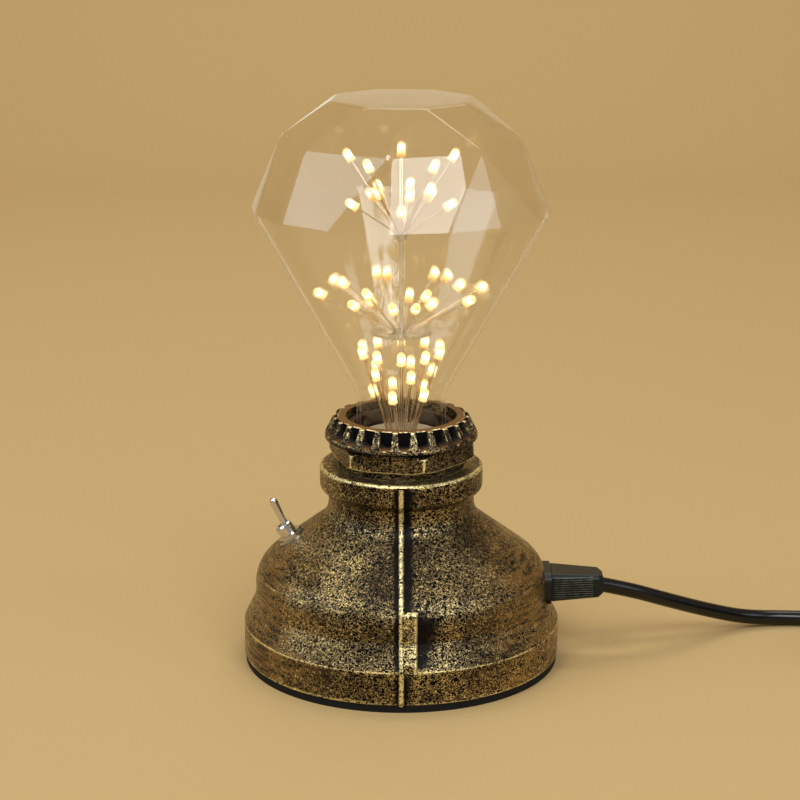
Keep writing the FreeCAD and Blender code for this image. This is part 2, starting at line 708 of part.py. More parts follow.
def hex_bushing():
    hexagon = prism("hexagon", "hex_flats / 2 / cos(30)", "hex_height", z=HEX_BOTTOM)
    bind(hexagon, Placement__Rotation__Angle="hex_turn")
    chamfer = turned(
        "hexagon_chamfer",
        [
            ("0", HEX_BOTTOM),
            ("hex_flats / 2 + 1.6", HEX_BOTTOM),
            ("hex_flats / 2 + 3.4", f"{HEX_BOTTOM} + 1"),
            ("hex_flats / 2 + 3.4", f"{HEX_TOP} - 1"),
            ("hex_flats / 2 + 1.6", HEX_TOP),
            ("0", HEX_TOP),
        ],
    )
    head = common("hexagon_head", hexagon, chamfer)
    shank = cylinder("bushing_shank", "shank_radius", "shank_length", z=SHANK_BOTTOM)
    bore = cylinder(
        "bushing_bore_tool", "bushing_bore", "shank_length + hex_height + 2", z=f"{SHANK_BOTTOM} - 1"
    )
    keep(cut("bushing", fuse("bushing_blank", head, shank), bore), "hex_bushing")


def fluted_ring():
    body = turned(
        "ring",
        [
            ("ring_bore", f"{RING_BOTTOM} + ring_seat_depth"),
            ("holder_flange + 2 * part_gap", f"{RING_BOTTOM} + ring_seat_depth"),
            ("holder_flange + 2 * part_gap", RING_BOTTOM),
            ("ring_radius", RING_BOTTOM),
            ("ring_radius", f"{RING_BOTTOM} + rim_height"),
            ("ring_top_radius", RING_TOP),
            ("ring_bore", RING_TOP),
        ],
        [("edge_round / 3", [5, 6])],
    )
    flute = body.newObject("Sketcher::SketchObject", "flute_outline")
    flute.AttachmentSupport = [(origin_plane(body, "XZ_Plane"), "")]
    flute.MapMode = "FlatFace"
    flute.AttachmentOffset = Placement(Vector(0, 0, 1), Rotation())
    flute.setExpression("AttachmentOffset.Base.z", bound("flute_floor"))
    half = s.flute_width / 2
    low_z = s.collar_top + s.hex_lift + s.hex_height + s.ring_lift + s.flute_end + half
    high_z = low_z + s.ring_height
    # A slot that is open at the top and round at its lower end.
    for start, end in (
        (Vector(-half, low_z, 0), Vector(-half, high_z, 0)),
        (Vector(-half, high_z, 0), Vector(half, high_z, 0)),
        (Vector(half, high_z, 0), Vector(half, low_z, 0)),
    ):
        flute.addGeometry(Part.LineSegment(start, end), False)
    low = Part.ArcOfCircle(Part.Circle(Vector(0, low_z, 0), Vector(0, 0, 1), half), math.pi, 0)
    flute.addGeometry(low, False)
    for first, second in (((0, 2), (1, 1)), ((1, 2), (2, 1)), ((2, 2), (3, 2)), ((3, 1), (0, 1))):
        flute.addConstraint(Sketcher.Constraint("Coincident", *first, *second))
    flute.addConstraint(Sketcher.Constraint("Vertical", 0))
    flute.addConstraint(Sketcher.Constraint("Horizontal", 1))
    flute.addConstraint(Sketcher.Constraint("Vertical", 2))
    flute.addConstraint(Sketcher.Constraint("PointOnObject", 3, 3, -2))
    wide = flute.addConstraint(Sketcher.Constraint("Radius", 3, half))
    flute.setExpression(f"Constraints[{wide}]", bound("flute_width / 2"))
    low_end = flute.addConstraint(Sketcher.Constraint("DistanceY", -1, 1, 3, 3, low_z))
    flute.setExpression(
        f"Constraints[{low_end}]", bound(f"{RING_BOTTOM} + flute_end + flute_width / 2")
    )
    high_end = flute.addConstraint(Sketcher.Constraint("DistanceY", -1, 1, 1, 1, high_z))
    flute.setExpression(f"Constraints[{high_end}]", bound(f"{RING_TOP} + 1"))
    flute.addConstraint(Sketcher.Constraint("Horizontal", 0, 1, 3, 3))
    flute.addConstraint(Sketcher.Constraint("Horizontal", 2, 2, 3, 3))
    doc.recompute()
    whole = body.Shape.Volume
    pocket = body.newObject("PartDesign::Pocket", "flute")
    pocket.Profile = flute
    pocket.Length = 8.0
    pocket.setExpression("Length", bound("ring_radius - flute_floor + 2"))
    pocket.Reversed = True
    doc.recompute()
    if pocket.Shape.Volume > whole - 1:
        raise RuntimeError("the flute cuts nothing")
    pattern = body.newObject("PartDesign::PolarPattern", "flutes")
    pattern.Originals = [pocket]
    pattern.Axis = (origin_plane(body, "Z_Axis"), [""])
    pattern.Angle = 360.0
    pattern.setExpression("Occurrences", bound("flute_count"))
    body.Tip = pattern
    bind(body, Placement__Rotation__Angle="ring_turn")
    keep(body, "fluted_ring")


def lampholder():
    keep(
        turned(
            "holder",
            [
                ("0", "holder_floor - holder_base"),
                ("holder_radius", "holder_floor - holder_base"),
                ("holder_radius", HEX_TOP),
                ("holder_flange", HEX_TOP),
                ("holder_flange", f"{HEX_TOP} + flange_height"),
                ("holder_radius", f"{HEX_TOP} + flange_height"),
                ("holder_radius", HOLDER_TOP),
                ("holder_mouth", HOLDER_TOP),
                ("holder_mouth", "shell_top + 1.5"),
                ("shell_radius + shell_wall + part_gap", "shell_top"),
                ("shell_radius + shell_wall + part_gap", "holder_floor"),
                ("0", "holder_floor"),
            ],
            [("edge_round / 2", [6, 7])],
        ),
        "lampholder_body",
    )
    keep(
        turned(
            "screw_shell",
            [
                ("shell_radius", "shell_bottom"),
                ("shell_radius + shell_wall", "shell_bottom"),
                ("shell_radius + shell_wall", "shell_top"),
                ("shell_radius", "shell_top"),
            ],
        ),
        "lampholder_screw_shell",
    )
    keep(
        turned(
            "locknut",
            [
                ("holder_radius + part_gap / 2", f"{SHANK_BOTTOM} - locknut_height"),
                ("neck_bore - 3 * part_gap", f"{SHANK_BOTTOM} - locknut_height"),
                ("neck_bore - 3 * part_gap", SHANK_BOTTOM),
                ("holder_radius + part_gap / 2", SHANK_BOTTOM),
            ],
        ),
        "lampholder_locknut",
    )
    # A bent spring strip on the floor, with its free end under the bulb's contact.
    rise = s.contact_bottom - s.fit_gap - s.holder_floor
    strip = s.spring_strip
    reach = s.contact_radius + s.spring_reach
    bend = reach * 0.7
    strip_side = [
        (-reach, 0),
        (0, 0),
        (bend, rise - strip),
        (reach, rise - strip),
        (reach, rise),
        (bend - strip / 2, rise),
        (-strip / 2, strip),
        (-reach, strip),
    ]
    corners = [
        Vector(x - s.spring_shift, -s.spring_width / 2, s.holder_floor + z) for x, z in strip_side
    ]
    face = Part.Face(Part.makePolygon(corners + corners[:1]))
    spring = face.extrude(Vector(0, s.spring_width, 0))
    keep(shaped("centre_spring", spring), "lampholder_centre_contact")
    low = "holder_floor - holder_base"
    blocks = []
    for number, side in enumerate((-1, 1)):
        block = box(
            f"terminal_block{number}",
            "terminal_length",
            "terminal_width",
            "terminal_height",
            f"({side} * terminal_spacing - terminal_length) / 2",
            "-terminal_width / 2",
            f"{low} - terminal_height",
        )
        hole = cylinder(f"terminal_hole{number}", "wire_radius + part_gap", "2 * terminal_width")
        hole.Placement = Placement(Vector(), Rotation(Vector(1, 0, 0), 90))
        middle = f"{low} - terminal_height / 2"
        place(hole, f"{side} * terminal_spacing / 2", "terminal_width", middle)
        blocks.append(cut(f"terminal{number}", block, hole))
    keep(group("holder_terminals", *blocks), "lampholder_terminals")


def toggle_switch():
    case = box("switch_case", "switch_length", "switch_width", "switch_depth")
    keep(
        on_switch(
            case, "-switch_wall - switch_depth", "-switch_length / 2", "-switch_width / 2"
        ),
        "switch_body",
    )
    neck = turned(
        "switch_neck",
        [
            ("switch_bore", "switch_floor"),
            ("0", "switch_floor"),
            ("0", "0"),
            ("switch_thread", "0"),
            ("switch_thread", "switch_wall + switch_neck - thread_chamfer"),
            ("switch_thread - thread_chamfer", "switch_wall + switch_neck"),
            ("switch_mouth", "switch_wall + switch_neck"),
            ("switch_bore", "switch_wall + switch_neck - mouth_depth"),
        ],
    )
    keep(on_switch(neck, "-switch_wall"), "switch_bushing")
    washer = turned(
        "washer",
        [
            ("switch_thread + part_gap / 2", "0"),
            ("washer_radius", "0"),
            ("washer_radius", "washer_thickness"),
            ("switch_thread + part_gap / 2", "washer_thickness"),
        ],
    )
    keep(on_switch(washer, "-switch_flat"), "switch_washer")
    nut = prism("nut_hexagon", "nut_flats / 2 / cos(30)", "nut_height")
    hole = cylinder("nut_hole", "switch_thread + part_gap / 2", "2 * nut_height", z="-nut_height / 2")
    keep(
        on_switch(cut("nut", nut, hole), "washer_thickness - switch_flat"), "switch_nut"
    )
    tags = []
    for along in (-s.tag_spacing, 0, s.tag_spacing):
        low = -s.switch_wall - s.switch_depth - s.tag_length
        corner = Vector(along - s.tag_thickness / 2, -s.tag_width / 2, low)
        tags.append(Part.makeBox(s.tag_thickness, s.tag_width, s.tag_length, corner))
    keep(shaped("switch_tags", Part.makeCompound(tags), SWITCH_FRAME), "switch_terminals")
    # The lever: a barrel at the pivot, a tail below it and a bat that widens to its tip.
    tip_start = s.lever_length - s.lever_tip
    half_barrel = math.sqrt((s.switch_bore - s.pivot_play) ** 2 - s.pivot_radius**2)
    barrel = Part.makeCylinder(
        s.pivot_radius, 2 * half_barrel, Vector(0, -half_barrel, 0), Vector(0, 1, 0)
    )
    bat = Part.makeCone(s.lever_root, s.lever_tip, tip_start)
    crown = Part.makeSphere(s.lever_tip, Vector(0, 0, tip_start))
    tail = Part.makeCylinder(s.lever_tail_radius, s.lever_tail, Vector(0, 0, -s.lever_tail))
    lever = barrel.fuse([bat, crown, tail]).removeSplitter()
    seat = SWITCH_FRAME.multiply(
        Placement(Vector(0, 0, s.pivot_height), Rotation(Vector(0, 1, 0), s.lever_tilt))
    )
    keep(shaped("lever", lever, seat), "switch_lever")


def stadium(name, width, tall, depth, x):
    """A figure with round ends across Y, from x outwards."""
    return round_slab(name, width, tall, depth, tall / 2 - 0.001, x)


def mains_inlet():
    face = s.inlet_seat + s.flange_thickness
    flange = round_slab(
        "inlet_flange",
        s.flange_width,
        s.flange_tall,
        s.flange_thickness,
        s.flange_corner,
        s.inlet_seat,
    )
    housing = round_slab(
        "inlet_case",
        s.housing_width,
        s.housing_tall,
        s.housing_depth,
        s.housing_corner,
        s.inlet_seat - s.housing_depth,
    )
    socket = stadium(
        "inlet_socket", s.socket_width, s.socket_tall, s.socket_depth + 1, face - s.socket_depth
    )
    holes = []
    pins = []
    start = s.inlet_seat - s.housing_depth - s.pin_tail
    length = face - s.pin_recess - start
    along = Vector(1, 0, 0)
    chamfer = s.inlet_pin * 0.3
    for number, side in enumerate((-1, 1)):
        foot = Vector(start, side * s.pin_spacing / 2, s.inlet_height)
        shank = Part.makeCylinder(s.inlet_pin, length - chamfer, foot, along)
        end = foot + along * (length - chamfer)
        tip = Part.makeCone(s.inlet_pin, s.inlet_pin * 0.6, chamfer, end, along)
        pins.append(shaped(f"inlet_pin{number}", shank.fuse(tip)))
        holes.append(shaped(f"inlet_pin_hole{number}", shank))
    case = cut("inlet", fuse("inlet_blank", flange, housing), socket, *holes)
    keep(case, "inlet_housing")
    keep(group("inlet_pin_pair", *pins), "inlet_pins")
    clip = round_slab(
        "clip_blank",
        s.clip_width,
        s.clip_tall,
        s.clip_thickness,
        s.clip_corner,
        s.clip_place,
    )
    clip_hole = round_slab(
        "clip_hole",
        s.housing_width + s.part_gap,
        s.housing_tall + s.part_gap,
        3 * s.clip_thickness,
        s.housing_corner,
        s.clip_place - s.clip_thickness,
    )
    keep(cut("clip", clip, clip_hole), "inlet_clip")


def connector():
    front = s.inlet_seat + s.flange_thickness + s.fit_gap
    back = front + s.grip_length

    def section(x, width, tall, corner):
        slab = round_slab("section", width, tall, 1.0, corner, x)
        wire = slab.Shape.Faces[0].OuterWire
        for one in slab.Shape.Faces:
            if abs(one.CenterOfMass.x - x) < 0.001 and abs(one.normalAt(0, 0).x) > 0.99:
                wire = one.OuterWire
        doc.removeObject(slab.Name)
        return wire

    wires = [
        section(front, s.grip_width, s.grip_tall, s.grip_round),
        section(back - s.grip_lip, s.grip_end_width, s.grip_end_tall, s.grip_round),
        section(
            back,
            s.grip_end_width - s.grip_lip_drop,
            s.grip_end_tall - s.grip_lip_drop,
            s.grip_round,
        ),
    ]
    grip = Part.makeLoft(wires, True, True)
    nose_shape = stadium(
        "connector_nose",
        s.socket_width - 2 * s.fit_gap,
        s.socket_tall - 2 * s.fit_gap,
        s.nose_length + 1,
        front - s.nose_length,
    )
    shell = grip.fuse(nose_shape.Shape).removeSplitter()
    doc.removeObject(nose_shape.Name)
    sleeve_outer = s.inlet_pin + s.sleeve_play + s.sleeve_wall
    sleeves = []
    for side in (-1, 1):
        start = Vector(front - s.nose_length, side * s.pin_spacing / 2, s.inlet_height)
        along = Vector(1, 0, 0)
        length = s.nose_length + s.sleeve_overrun
        bore = Part.makeCylinder(sleeve_outer, length, start, along)
        shell = shell.cut(bore)
        tube = Part.makeCylinder(
            sleeve_outer, length - s.sleeve_inset, start + along * s.sleeve_inset, along
        )
        pin_hole = Part.makeCylinder(s.inlet_pin + s.sleeve_play, length + 2, start - along, along)
        sleeves.append(tube.cut(pin_hole))
    # Grooves along both sides of the grip, parallel to its taper.
    slant = math.degrees(
        math.atan2((s.grip_width - s.grip_end_width) / 2, s.grip_length)
    )
    for side in (-1, 1):
        for number in range(int(s.rib_count)):
            up = (number - (s.rib_count - 1) / 2) * s.rib_pitch
            groove = Part.makeBox(
                s.grip_length - s.rib_margin,
                2 * s.rib_depth,
                s.rib_width,
                Vector(s.rib_inset, -s.rib_depth, -s.rib_width / 2),
            )
            groove.Placement = Placement(
                Vector(front, side * s.grip_width / 2, s.inlet_height + up),
                Rotation(Vector(0, 0, 1), -side * slant),
            )
            shell = shell.cut(groove)
    keep(shaped("connector", shell), "connector_shell")
    keep(shaped("sleeves", Part.makeCompound(sleeves)), "connector_contacts")


# The cord's routes, from the connector to the coil and from the coil to the plug.
COIL_START = Vector(184, 22, 3.6)
CONNECTOR_END = s.inlet_seat + s.flange_thickness + s.fit_gap + s.grip_length
STRETCH = [
    Vector(CONNECTOR_END - 2.2, 0, s.inlet_height - 0.4),
    Vector(76.0, 1.5, 22.0),
    Vector(90.0, 8.0, 15.8),
    Vector(105.0, 17.0, 8.8),
    Vector(119.0, 23.8, 3.6),
    Vector(134.0, 26.2, 2.6),
    Vector(151.0, 24.2, 2.8),
    Vector(168.0, 22.4, 3.5),
    COIL_START,
]
TAIL = [
    Vector(194.0, 22.0, 20.4),
    Vector(206.0, 22.4, 20.2),
    Vector(221.0, 23.4, 17.2),
    Vector(236.0, 24.6, 10.8),
    Vector(249.0, 25.2, 7.0),
    Vector(258.0, 25.4, 6.85),
]


def rounded_path(points, label):
    """Straight runs joined by tangent arcs, and the smallest arc's radius."""
    edges = []
    start = points[0]
    smallest = None
    for before, corner, after in zip(points, points[1:], points[2:]):
        back = before - corner
        ahead = after - corner
        shorter = min(back.Length, ahead.Length)
        back.normalize()
        ahead.normalize()
        turn = math.pi - back.getAngle(ahead)
        radius = 0.45 * shorter / math.tan(turn / 2)
        smallest = radius if smallest is None else min(smallest, radius)
        trim = 0.45 * shorter
        first = corner + back * trim
        last = corner + ahead * trim
        middle_way = back + ahead
        middle_way.normalize()
        centre = corner + middle_way * (radius / math.cos(turn / 2))
        middle = centre - middle_way * radius
        edges.append(Part.LineSegment(start, first).toShape())
        edges.append(Part.Arc(first, middle, last).toShape())
        start = last
    edges.append(Part.LineSegment(start, points[-1]).toShape())
    print(f"{label}: smallest radius {smallest:.1f} mm")
    return Part.Wire(edges)


def tube_along(wire, radius, label):
    """A tube swept along a wire, with its volume set against length times section."""
    first = wire.OrderedEdges[0]
    start = first.valueAt(first.FirstParameter)
    along = first.tangentAt(first.FirstParameter)
    profile = Part.Wire(Part.makeCircle(radius, start, along))
    tube = wire.makePipeShell([profile], True, False)
    expected = math.pi * radius**2 * wire.Length
    print(f"{label}: length {wire.Length:.1f} mm, volume share {tube.Volume / expected:.4f}")
    return tube


def biarc(start, start_way, end, end_way):
    """Two arcs that join two points and keep their directions."""
    gap = end - start
    both = start_way + end_way
    a = both.dot(both) - 4.0
    b = -2 * gap.dot(both)
    c = gap.dot(gap)
    if abs(a) < 1e-9:
        reach = c / (2 * gap.dot(end_way)) / 2
    else:
        reach = (-b - math.sqrt(b * b - 4 * a * c)) / (2 * a)
        if reach < 0:
            reach = (-b + math.sqrt(b * b - 4 * a * c)) / (2 * a)
    first_corner = start + start_way * reach
    last_corner = end - end_way * reach
    joint = (first_corner + last_corner) * 0.5
    arcs = []
    for one, corner, other in ((start, first_corner, joint), (joint, last_corner, end)):
        back = one - corner
        ahead = other - corner
        half = back.getAngle(ahead) / 2
        radius = back.Length * math.tan(half)
        middle_way = back + ahead
        middle_way.normalize()
        centre = corner + middle_way * (radius / math.sin(half))
        middle = centre - middle_way * radius
        arcs.append(Part.Arc(one, middle, other).toShape())
    return arcs


def coil():
    """Piled turns that spiral in and out in four layers."""
    step = s.coil_pitch / 2
    layer = int(s.coil_layer_half_turns)
    radii = [s.coil_outer - step * number for number in range(layer)]
    inner = s.coil_outer - step * layer
    inward = radii[1:]
    outward = inward[::-1]
    turns = [(radius, False) for radius in radii]
    turns += [(inner, True)] + [(radius, False) for radius in outward]
    turns += [(s.coil_outer, True)] + [(radius, False) for radius in inward]
    turns += [(inner, True)] + [(radius, False) for radius in outward]
    straight = 2 * s.cord_radius
    place_now = COIL_START + Vector(straight, 0, 0)
    way = 1
    edges = [Part.LineSegment(COIL_START, place_now).toShape()]
    for radius, climbs in turns:
        centre = place_now + Vector(0, -way * radius, 0)
        rise = s.coil_pitch if climbs else 0.0

        def on_turn(share, centre=centre, radius=radius, rise=rise, way=way):
            angle = math.pi * share
            flat = Vector(way * math.sin(angle), way * math.cos(angle), 0) * radius
            return centre + flat + Vector(0, 0, rise * (1 - math.cos(angle)) / 2)

        def heading(share, radius=radius, rise=rise, way=way):
            angle = math.pi * share
            flat = Vector(way * math.cos(angle), -way * math.sin(angle), 0) * radius
            made = flat + Vector(0, 0, rise * math.sin(angle) / 2)
            return made.normalize()

        if climbs:
            for quarter in (0, 0.5):
                edges += biarc(
                    on_turn(quarter),
                    heading(quarter),
                    on_turn(quarter + 0.5),
                    heading(quarter + 0.5),
                )
        else:
            for quarter in (0, 0.5):
                arc = Part.Arc(on_turn(quarter), on_turn(quarter + 0.25), on_turn(quarter + 0.5))
                edges.append(arc.toShape())
        place_now = on_turn(1)
        way = -way
    end = place_now + Vector(straight, 0, 0)
    edges.append(Part.LineSegment(place_now, end).toShape())
    wire = Part.Wire(edges)
    tube = tube_along(wire, s.cord_radius, "coil")
    print(f"coil: {len(turns) / 2} turns, least gap {least_gap(wire):.2f} mm")
    print(f"coil: ends at {end.x:.1f}, {end.y:.1f}, {end.z:.1f}")
    keep(shaped("coil", tube), "cord_coil")
    return wire.Length


def least_gap(wire):
    """The least gap between turns, on points along the line."""
    spacing = 1.0
    points = wire.discretize(Distance=spacing)
    away = int(3 * s.cord_radius * 2 / spacing) + 6
    least = 1000.0
    for index, point in enumerate(points):
        for other in points[index + away :]:
            if abs(other.z - point.z) < s.coil_pitch * 1.2:
                least = min(least, point.distanceToPoint(other))
    return least - 2 * s.cord_radius


def cord():
    stretch = rounded_path(STRETCH, "stretch")
    tail = rounded_path(TAIL, "tail")
    keep(shaped("stretch", tube_along(stretch, s.cord_radius, "stretch")), "supply_cord")
    keep(shaped("tail", tube_along(tail, s.cord_radius, "tail")), "cord_tail")
    total = stretch.Length + tail.Length + coil()
    print(f"cord: {total:.0f} mm")
    # The tie goes round the coil's left side, a little clear of its turns.
    columns = COIL_START.x + 2 * s.cord_radius - s.coil_outer + s.coil_pitch / 2
    low_x = columns - s.cord_radius - s.tie_play
    high_x = columns + s.coil_pitch + s.cord_radius + 4 * s.tie_play
    low_z = s.coil_bottom - s.cord_radius - s.tie_play
    high_z = s.coil_bottom + 3 * s.coil_pitch + s.cord_radius + s.tie_play
    middle_y = COIL_START.y - s.coil_outer
    outer = Part.makeBox(
        high_x - low_x + 2 * s.tie_thickness,
        s.tie_width,
        high_z - low_z + 2 * s.tie_thickness,
        Vector(low_x - s.tie_thickness, middle_y - s.tie_width / 2, low_z - s.tie_thickness),
    )
    inner = Part.makeBox(
        high_x - low_x,
        3 * s.tie_width,
        high_z - low_z,
        Vector(low_x, middle_y - 1.5 * s.tie_width, low_z),
    )
    long_edges = [edge for edge in outer.Edges if abs(edge.tangentAt(0).y) > 0.99]
    outer = outer.makeFillet(s.tie_corner + s.tie_thickness, long_edges)
    inner_edges = [edge for edge in inner.Edges if abs(edge.tangentAt(0).y) > 0.99]
    inner = inner.makeFillet(s.tie_corner, inner_edges)
    keep(shaped("tie", outer.cut(inner)), "coil_tie")


def mains_plug():
    start = TAIL[-1]
    back = start.x + s.relief_length
    front = back + s.plug_length
    relief = Part.makeCone(
        s.cord_radius + s.relief_wall, s.relief_radius, s.relief_length, start, Vector(1, 0, 0)
    )
    keep(shaped("relief", relief), "plug_strain_relief")
    # A flat plug that is widest in its middle and narrow at both ends.
    half_back = s.plug_back_width / 2
    half_wide = s.plug_width / 2
    half_nose = s.plug_nose_width / 2
    wide_start = back + s.plug_length * 0.45
    wide_end = back + s.plug_length * 0.6
    side = [
        (back, -half_back),
        (wide_start, -half_wide),
        (wide_end, -half_wide),
        (front, -half_nose),
        (front, half_nose),
        (wide_end, half_wide),
        (wide_start, half_wide),
        (back, half_back),
    ]
    low = start.z - s.plug_thickness / 2
    corners = [Vector(x, start.y + y, low) for x, y in side]
    face = Part.Face(Part.makePolygon(corners + corners[:1]))
    block = face.extrude(Vector(0, 0, s.plug_thickness))
    block = block.makeFillet(s.plug_round, block.Edges)
    pins = []
    for sign in (-1, 1):
        foot = Vector(front, start.y + sign * s.plug_pin_spacing / 2, start.z)
        pin = Part.makeCylinder(s.plug_pin, s.plug_pin_length - s.plug_pin, foot, Vector(1, 0, 0))
        end = foot + Vector(s.plug_pin_length - s.plug_pin, 0, 0)
        pins.append(pin.fuse(Part.makeSphere(s.plug_pin, end)).removeSplitter())
    keep(shaped("plug", block), "mains_plug")
    keep(shaped("plug_pin_pair", Part.makeCompound(pins)), "mains_plug_pins")


def ring_of_corners(radius, height, count, first_degrees):
    step = 360.0 / count
    corners = []
    for number in range(count):
        angle = math.radians(first_degrees + number * step)
        corners.append(Vector(radius * math.cos(angle), radius * math.sin(angle), height))
    return corners


def gem(inset):
    """The faceted crown with straight sides below it, drawn in by an inset."""
    count = int(s.facet_count)
    half_step = 180.0 / count
    break_height = s.girdle_height + s.break_rise
    table_height = break_height + s.table_rise
    table = ring_of_corners(
        s.table_radius - inset * 0.6, table_height - inset, count, s.facet_turn + half_step
    )
    middle = ring_of_corners(
        s.break_radius - inset, break_height - inset * 0.7, count, s.facet_turn
    )
    girdle = ring_of_corners(s.girdle_radius - inset, s.girdle_height, 2 * count, s.facet_turn)
    skirt = ring_of_corners(s.girdle_radius - inset, s.glass_bottom - 5, 2 * count, s.facet_turn)
    faces = [table, skirt]
    for number in range(count):
        following = (number + 1) % count
        at = 2 * number
        before = (at - 1) % (2 * count)
        after = at + 1
        faces.append([table[number], middle[number], middle[following]])
        faces.append([table[number], table[following], middle[following]])
        faces.append([middle[number], girdle[at], girdle[after]])
        faces.append([middle[number], girdle[before], girdle[at]])
        faces.append([middle[number], middle[following], girdle[after]])
    for number in range(2 * count):
        following = (number + 1) % (2 * count)
        faces.append([girdle[number], girdle[following], skirt[following], skirt[number]])
    shell = Part.Shell([Part.Face(Part.makePolygon(face + face[:1])) for face in faces])
    solid = Part.Solid(shell)
    if solid.Volume < 0:
        solid.reverse()
    return solid


def bulb_form(inset):
    """The bulb's neck and cone, cut to the faceted crown."""
    slope = (s.girdle_radius - s.flare_radius) / (s.girdle_height - s.flare_top)
    top = s.girdle_height + s.break_rise + s.table_rise + 5
    low = s.glass_bottom - (1 if inset else 0)
    neck = s.glass_neck - inset
    side = inset * math.sqrt(1 + slope**2)
    flare = s.flare_radius - side
    middle_height = (s.glass_neck_top + s.flare_top) / 2
    middle = neck + (flare - neck) * 0.28
    wide = flare + (top - s.flare_top) * slope
    bend = Part.Arc(
        Vector(neck, 0, s.glass_neck_top),
        Vector(middle, 0, middle_height),
        Vector(flare, 0, s.flare_top),
    )
    lines = [
        (Vector(0, 0, low), Vector(neck, 0, low)),
        (Vector(neck, 0, low), Vector(neck, 0, s.glass_neck_top)),
        (Vector(flare, 0, s.flare_top), Vector(wide, 0, top)),
        (Vector(wide, 0, top), Vector(0, 0, top)),
        (Vector(0, 0, top), Vector(0, 0, low)),
    ]
    edges = [Part.LineSegment(*pair).toShape() for pair in lines]
    edges.insert(2, bend.toShape())
    profile = Part.Face(Part.Wire(edges))
    turned_form = profile.revolve(Vector(), Vector(0, 0, 1), 360)
    return turned_form.common(gem(inset))


def bulb():
    glass = bulb_form(0).cut(bulb_form(s.glass_wall))
    keep(shaped("glass", glass), "bulb_glass")
    keep(
        turned(
            "bulb_cap",
            [
                ("cap_radius - cap_wall", "cap_bottom"),
                ("cap_radius", "cap_bottom"),
                ("cap_radius", "cap_top"),
                ("cap_radius - cap_wall", "cap_top"),
            ],
        ),
        "bulb_cap",
    )
    keep(
        turned(
            "insulator",
            [
                ("0", "contact_bottom + contact_height"),
                ("contact_radius + cap_step", "contact_bottom + contact_height"),
                ("cap_radius - cap_step", "cap_bottom"),
                ("cap_radius - cap_wall", "cap_bottom"),
                ("cap_radius - cap_wall", "cap_bottom + cap_seal"),
                ("0", "cap_bottom + cap_seal"),
            ],
        ),
        "bulb_cap_insulator",
    )
    keep(
        turned(
            "bulb_contact",
            [
                ("0", "contact_bottom"),
                ("contact_radius * 0.55", "contact_bottom"),
                ("contact_radius", "contact_bottom + contact_height * 0.7"),
                ("contact_radius", "contact_bottom + contact_height"),
                ("0", "contact_bottom + contact_height"),
            ],
        ),
        "bulb_centre_contact",
    )
    keep(
        cylinder(
            "board", "board_radius", "board_thickness", z="board_height - board_thickness"
        ),
        "led_board",
    )
    lower = cylinder("stem_lower", "stem_radius", "disc_height - board_height", z="board_height")
    upper = cylinder(
        "stem_upper",
        "stem_radius * 0.8",
        "stem_top - disc_height",
        z="disc_height",
    )
    knob = cylinder("stem_knob", "stem_radius * 2", "knob_height", z="stem_top - knob_height")
    keep(fuse("stem", lower, upper, knob), "led_stem")
    disc = cylinder("disc_blank", "disc_radius", "disc_thickness", z="disc_height")
    disc_hole = cylinder("disc_hole", "stem_radius", "3 * disc_thickness", z="disc_height - 1")
    keep(cut("disc", disc, disc_hole), "led_disc")


def glass_room(height):
    """The radius inside the glass at a height over its flare."""
    slope = (s.girdle_radius - s.flare_radius) / (s.girdle_height - s.flare_top)
    if height > s.girdle_height:
        slope = (s.break_radius - s.girdle_radius) / s.break_rise
    outer = s.girdle_radius + (height - s.girdle_height) * slope
    return outer - s.glass_wall * math.sqrt(1 + slope**2)


def starburst(tier, rings, start_height, end_height):
    """Light beads in rings that spread from one height towards another.

    Each ring is its leads' start radius, its share of the glass's radius, its share of
    the rise, its number of beads and its first angle."""
    beads = []
    leads = []
    for start_radius, room_share, rise_share, count, first in rings:
        rise = rise_share * (end_height - start_height)
        ring_radius = room_share * glass_room(start_height + rise)
        for number in range(count):
            angle = math.radians(first + 360.0 * number / count)
            out = Vector(math.cos(angle), math.sin(angle), 0)
            start = out * start_radius + Vector(0, 0, start_height + 0.1)
            centre = out * ring_radius + Vector(0, 0, start_height + rise)
            way = (centre - start).normalize()
            foot = centre - way * (s.bead_light_length / 2)
            radius = s.bead_light_radius
            dome = radius * 0.6
            body = Part.makeCylinder(radius, s.bead_light_length - dome, foot, way)
            end = foot + way * (s.bead_light_length - dome)
            beads.append(body.fuse(Part.makeCone(radius, radius * 0.5, dome, end, way)))
            reach = (foot - start).Length
            leads.append(Part.makeCylinder(s.lead_radius, reach, start, way))
    keep(shaped(f"beads_{tier}", Part.makeCompound(beads)), f"led_beads_{tier}")
    keep(shaped(f"leads_{tier}", Part.makeCompound(leads)), f"led_leads_{tier}")


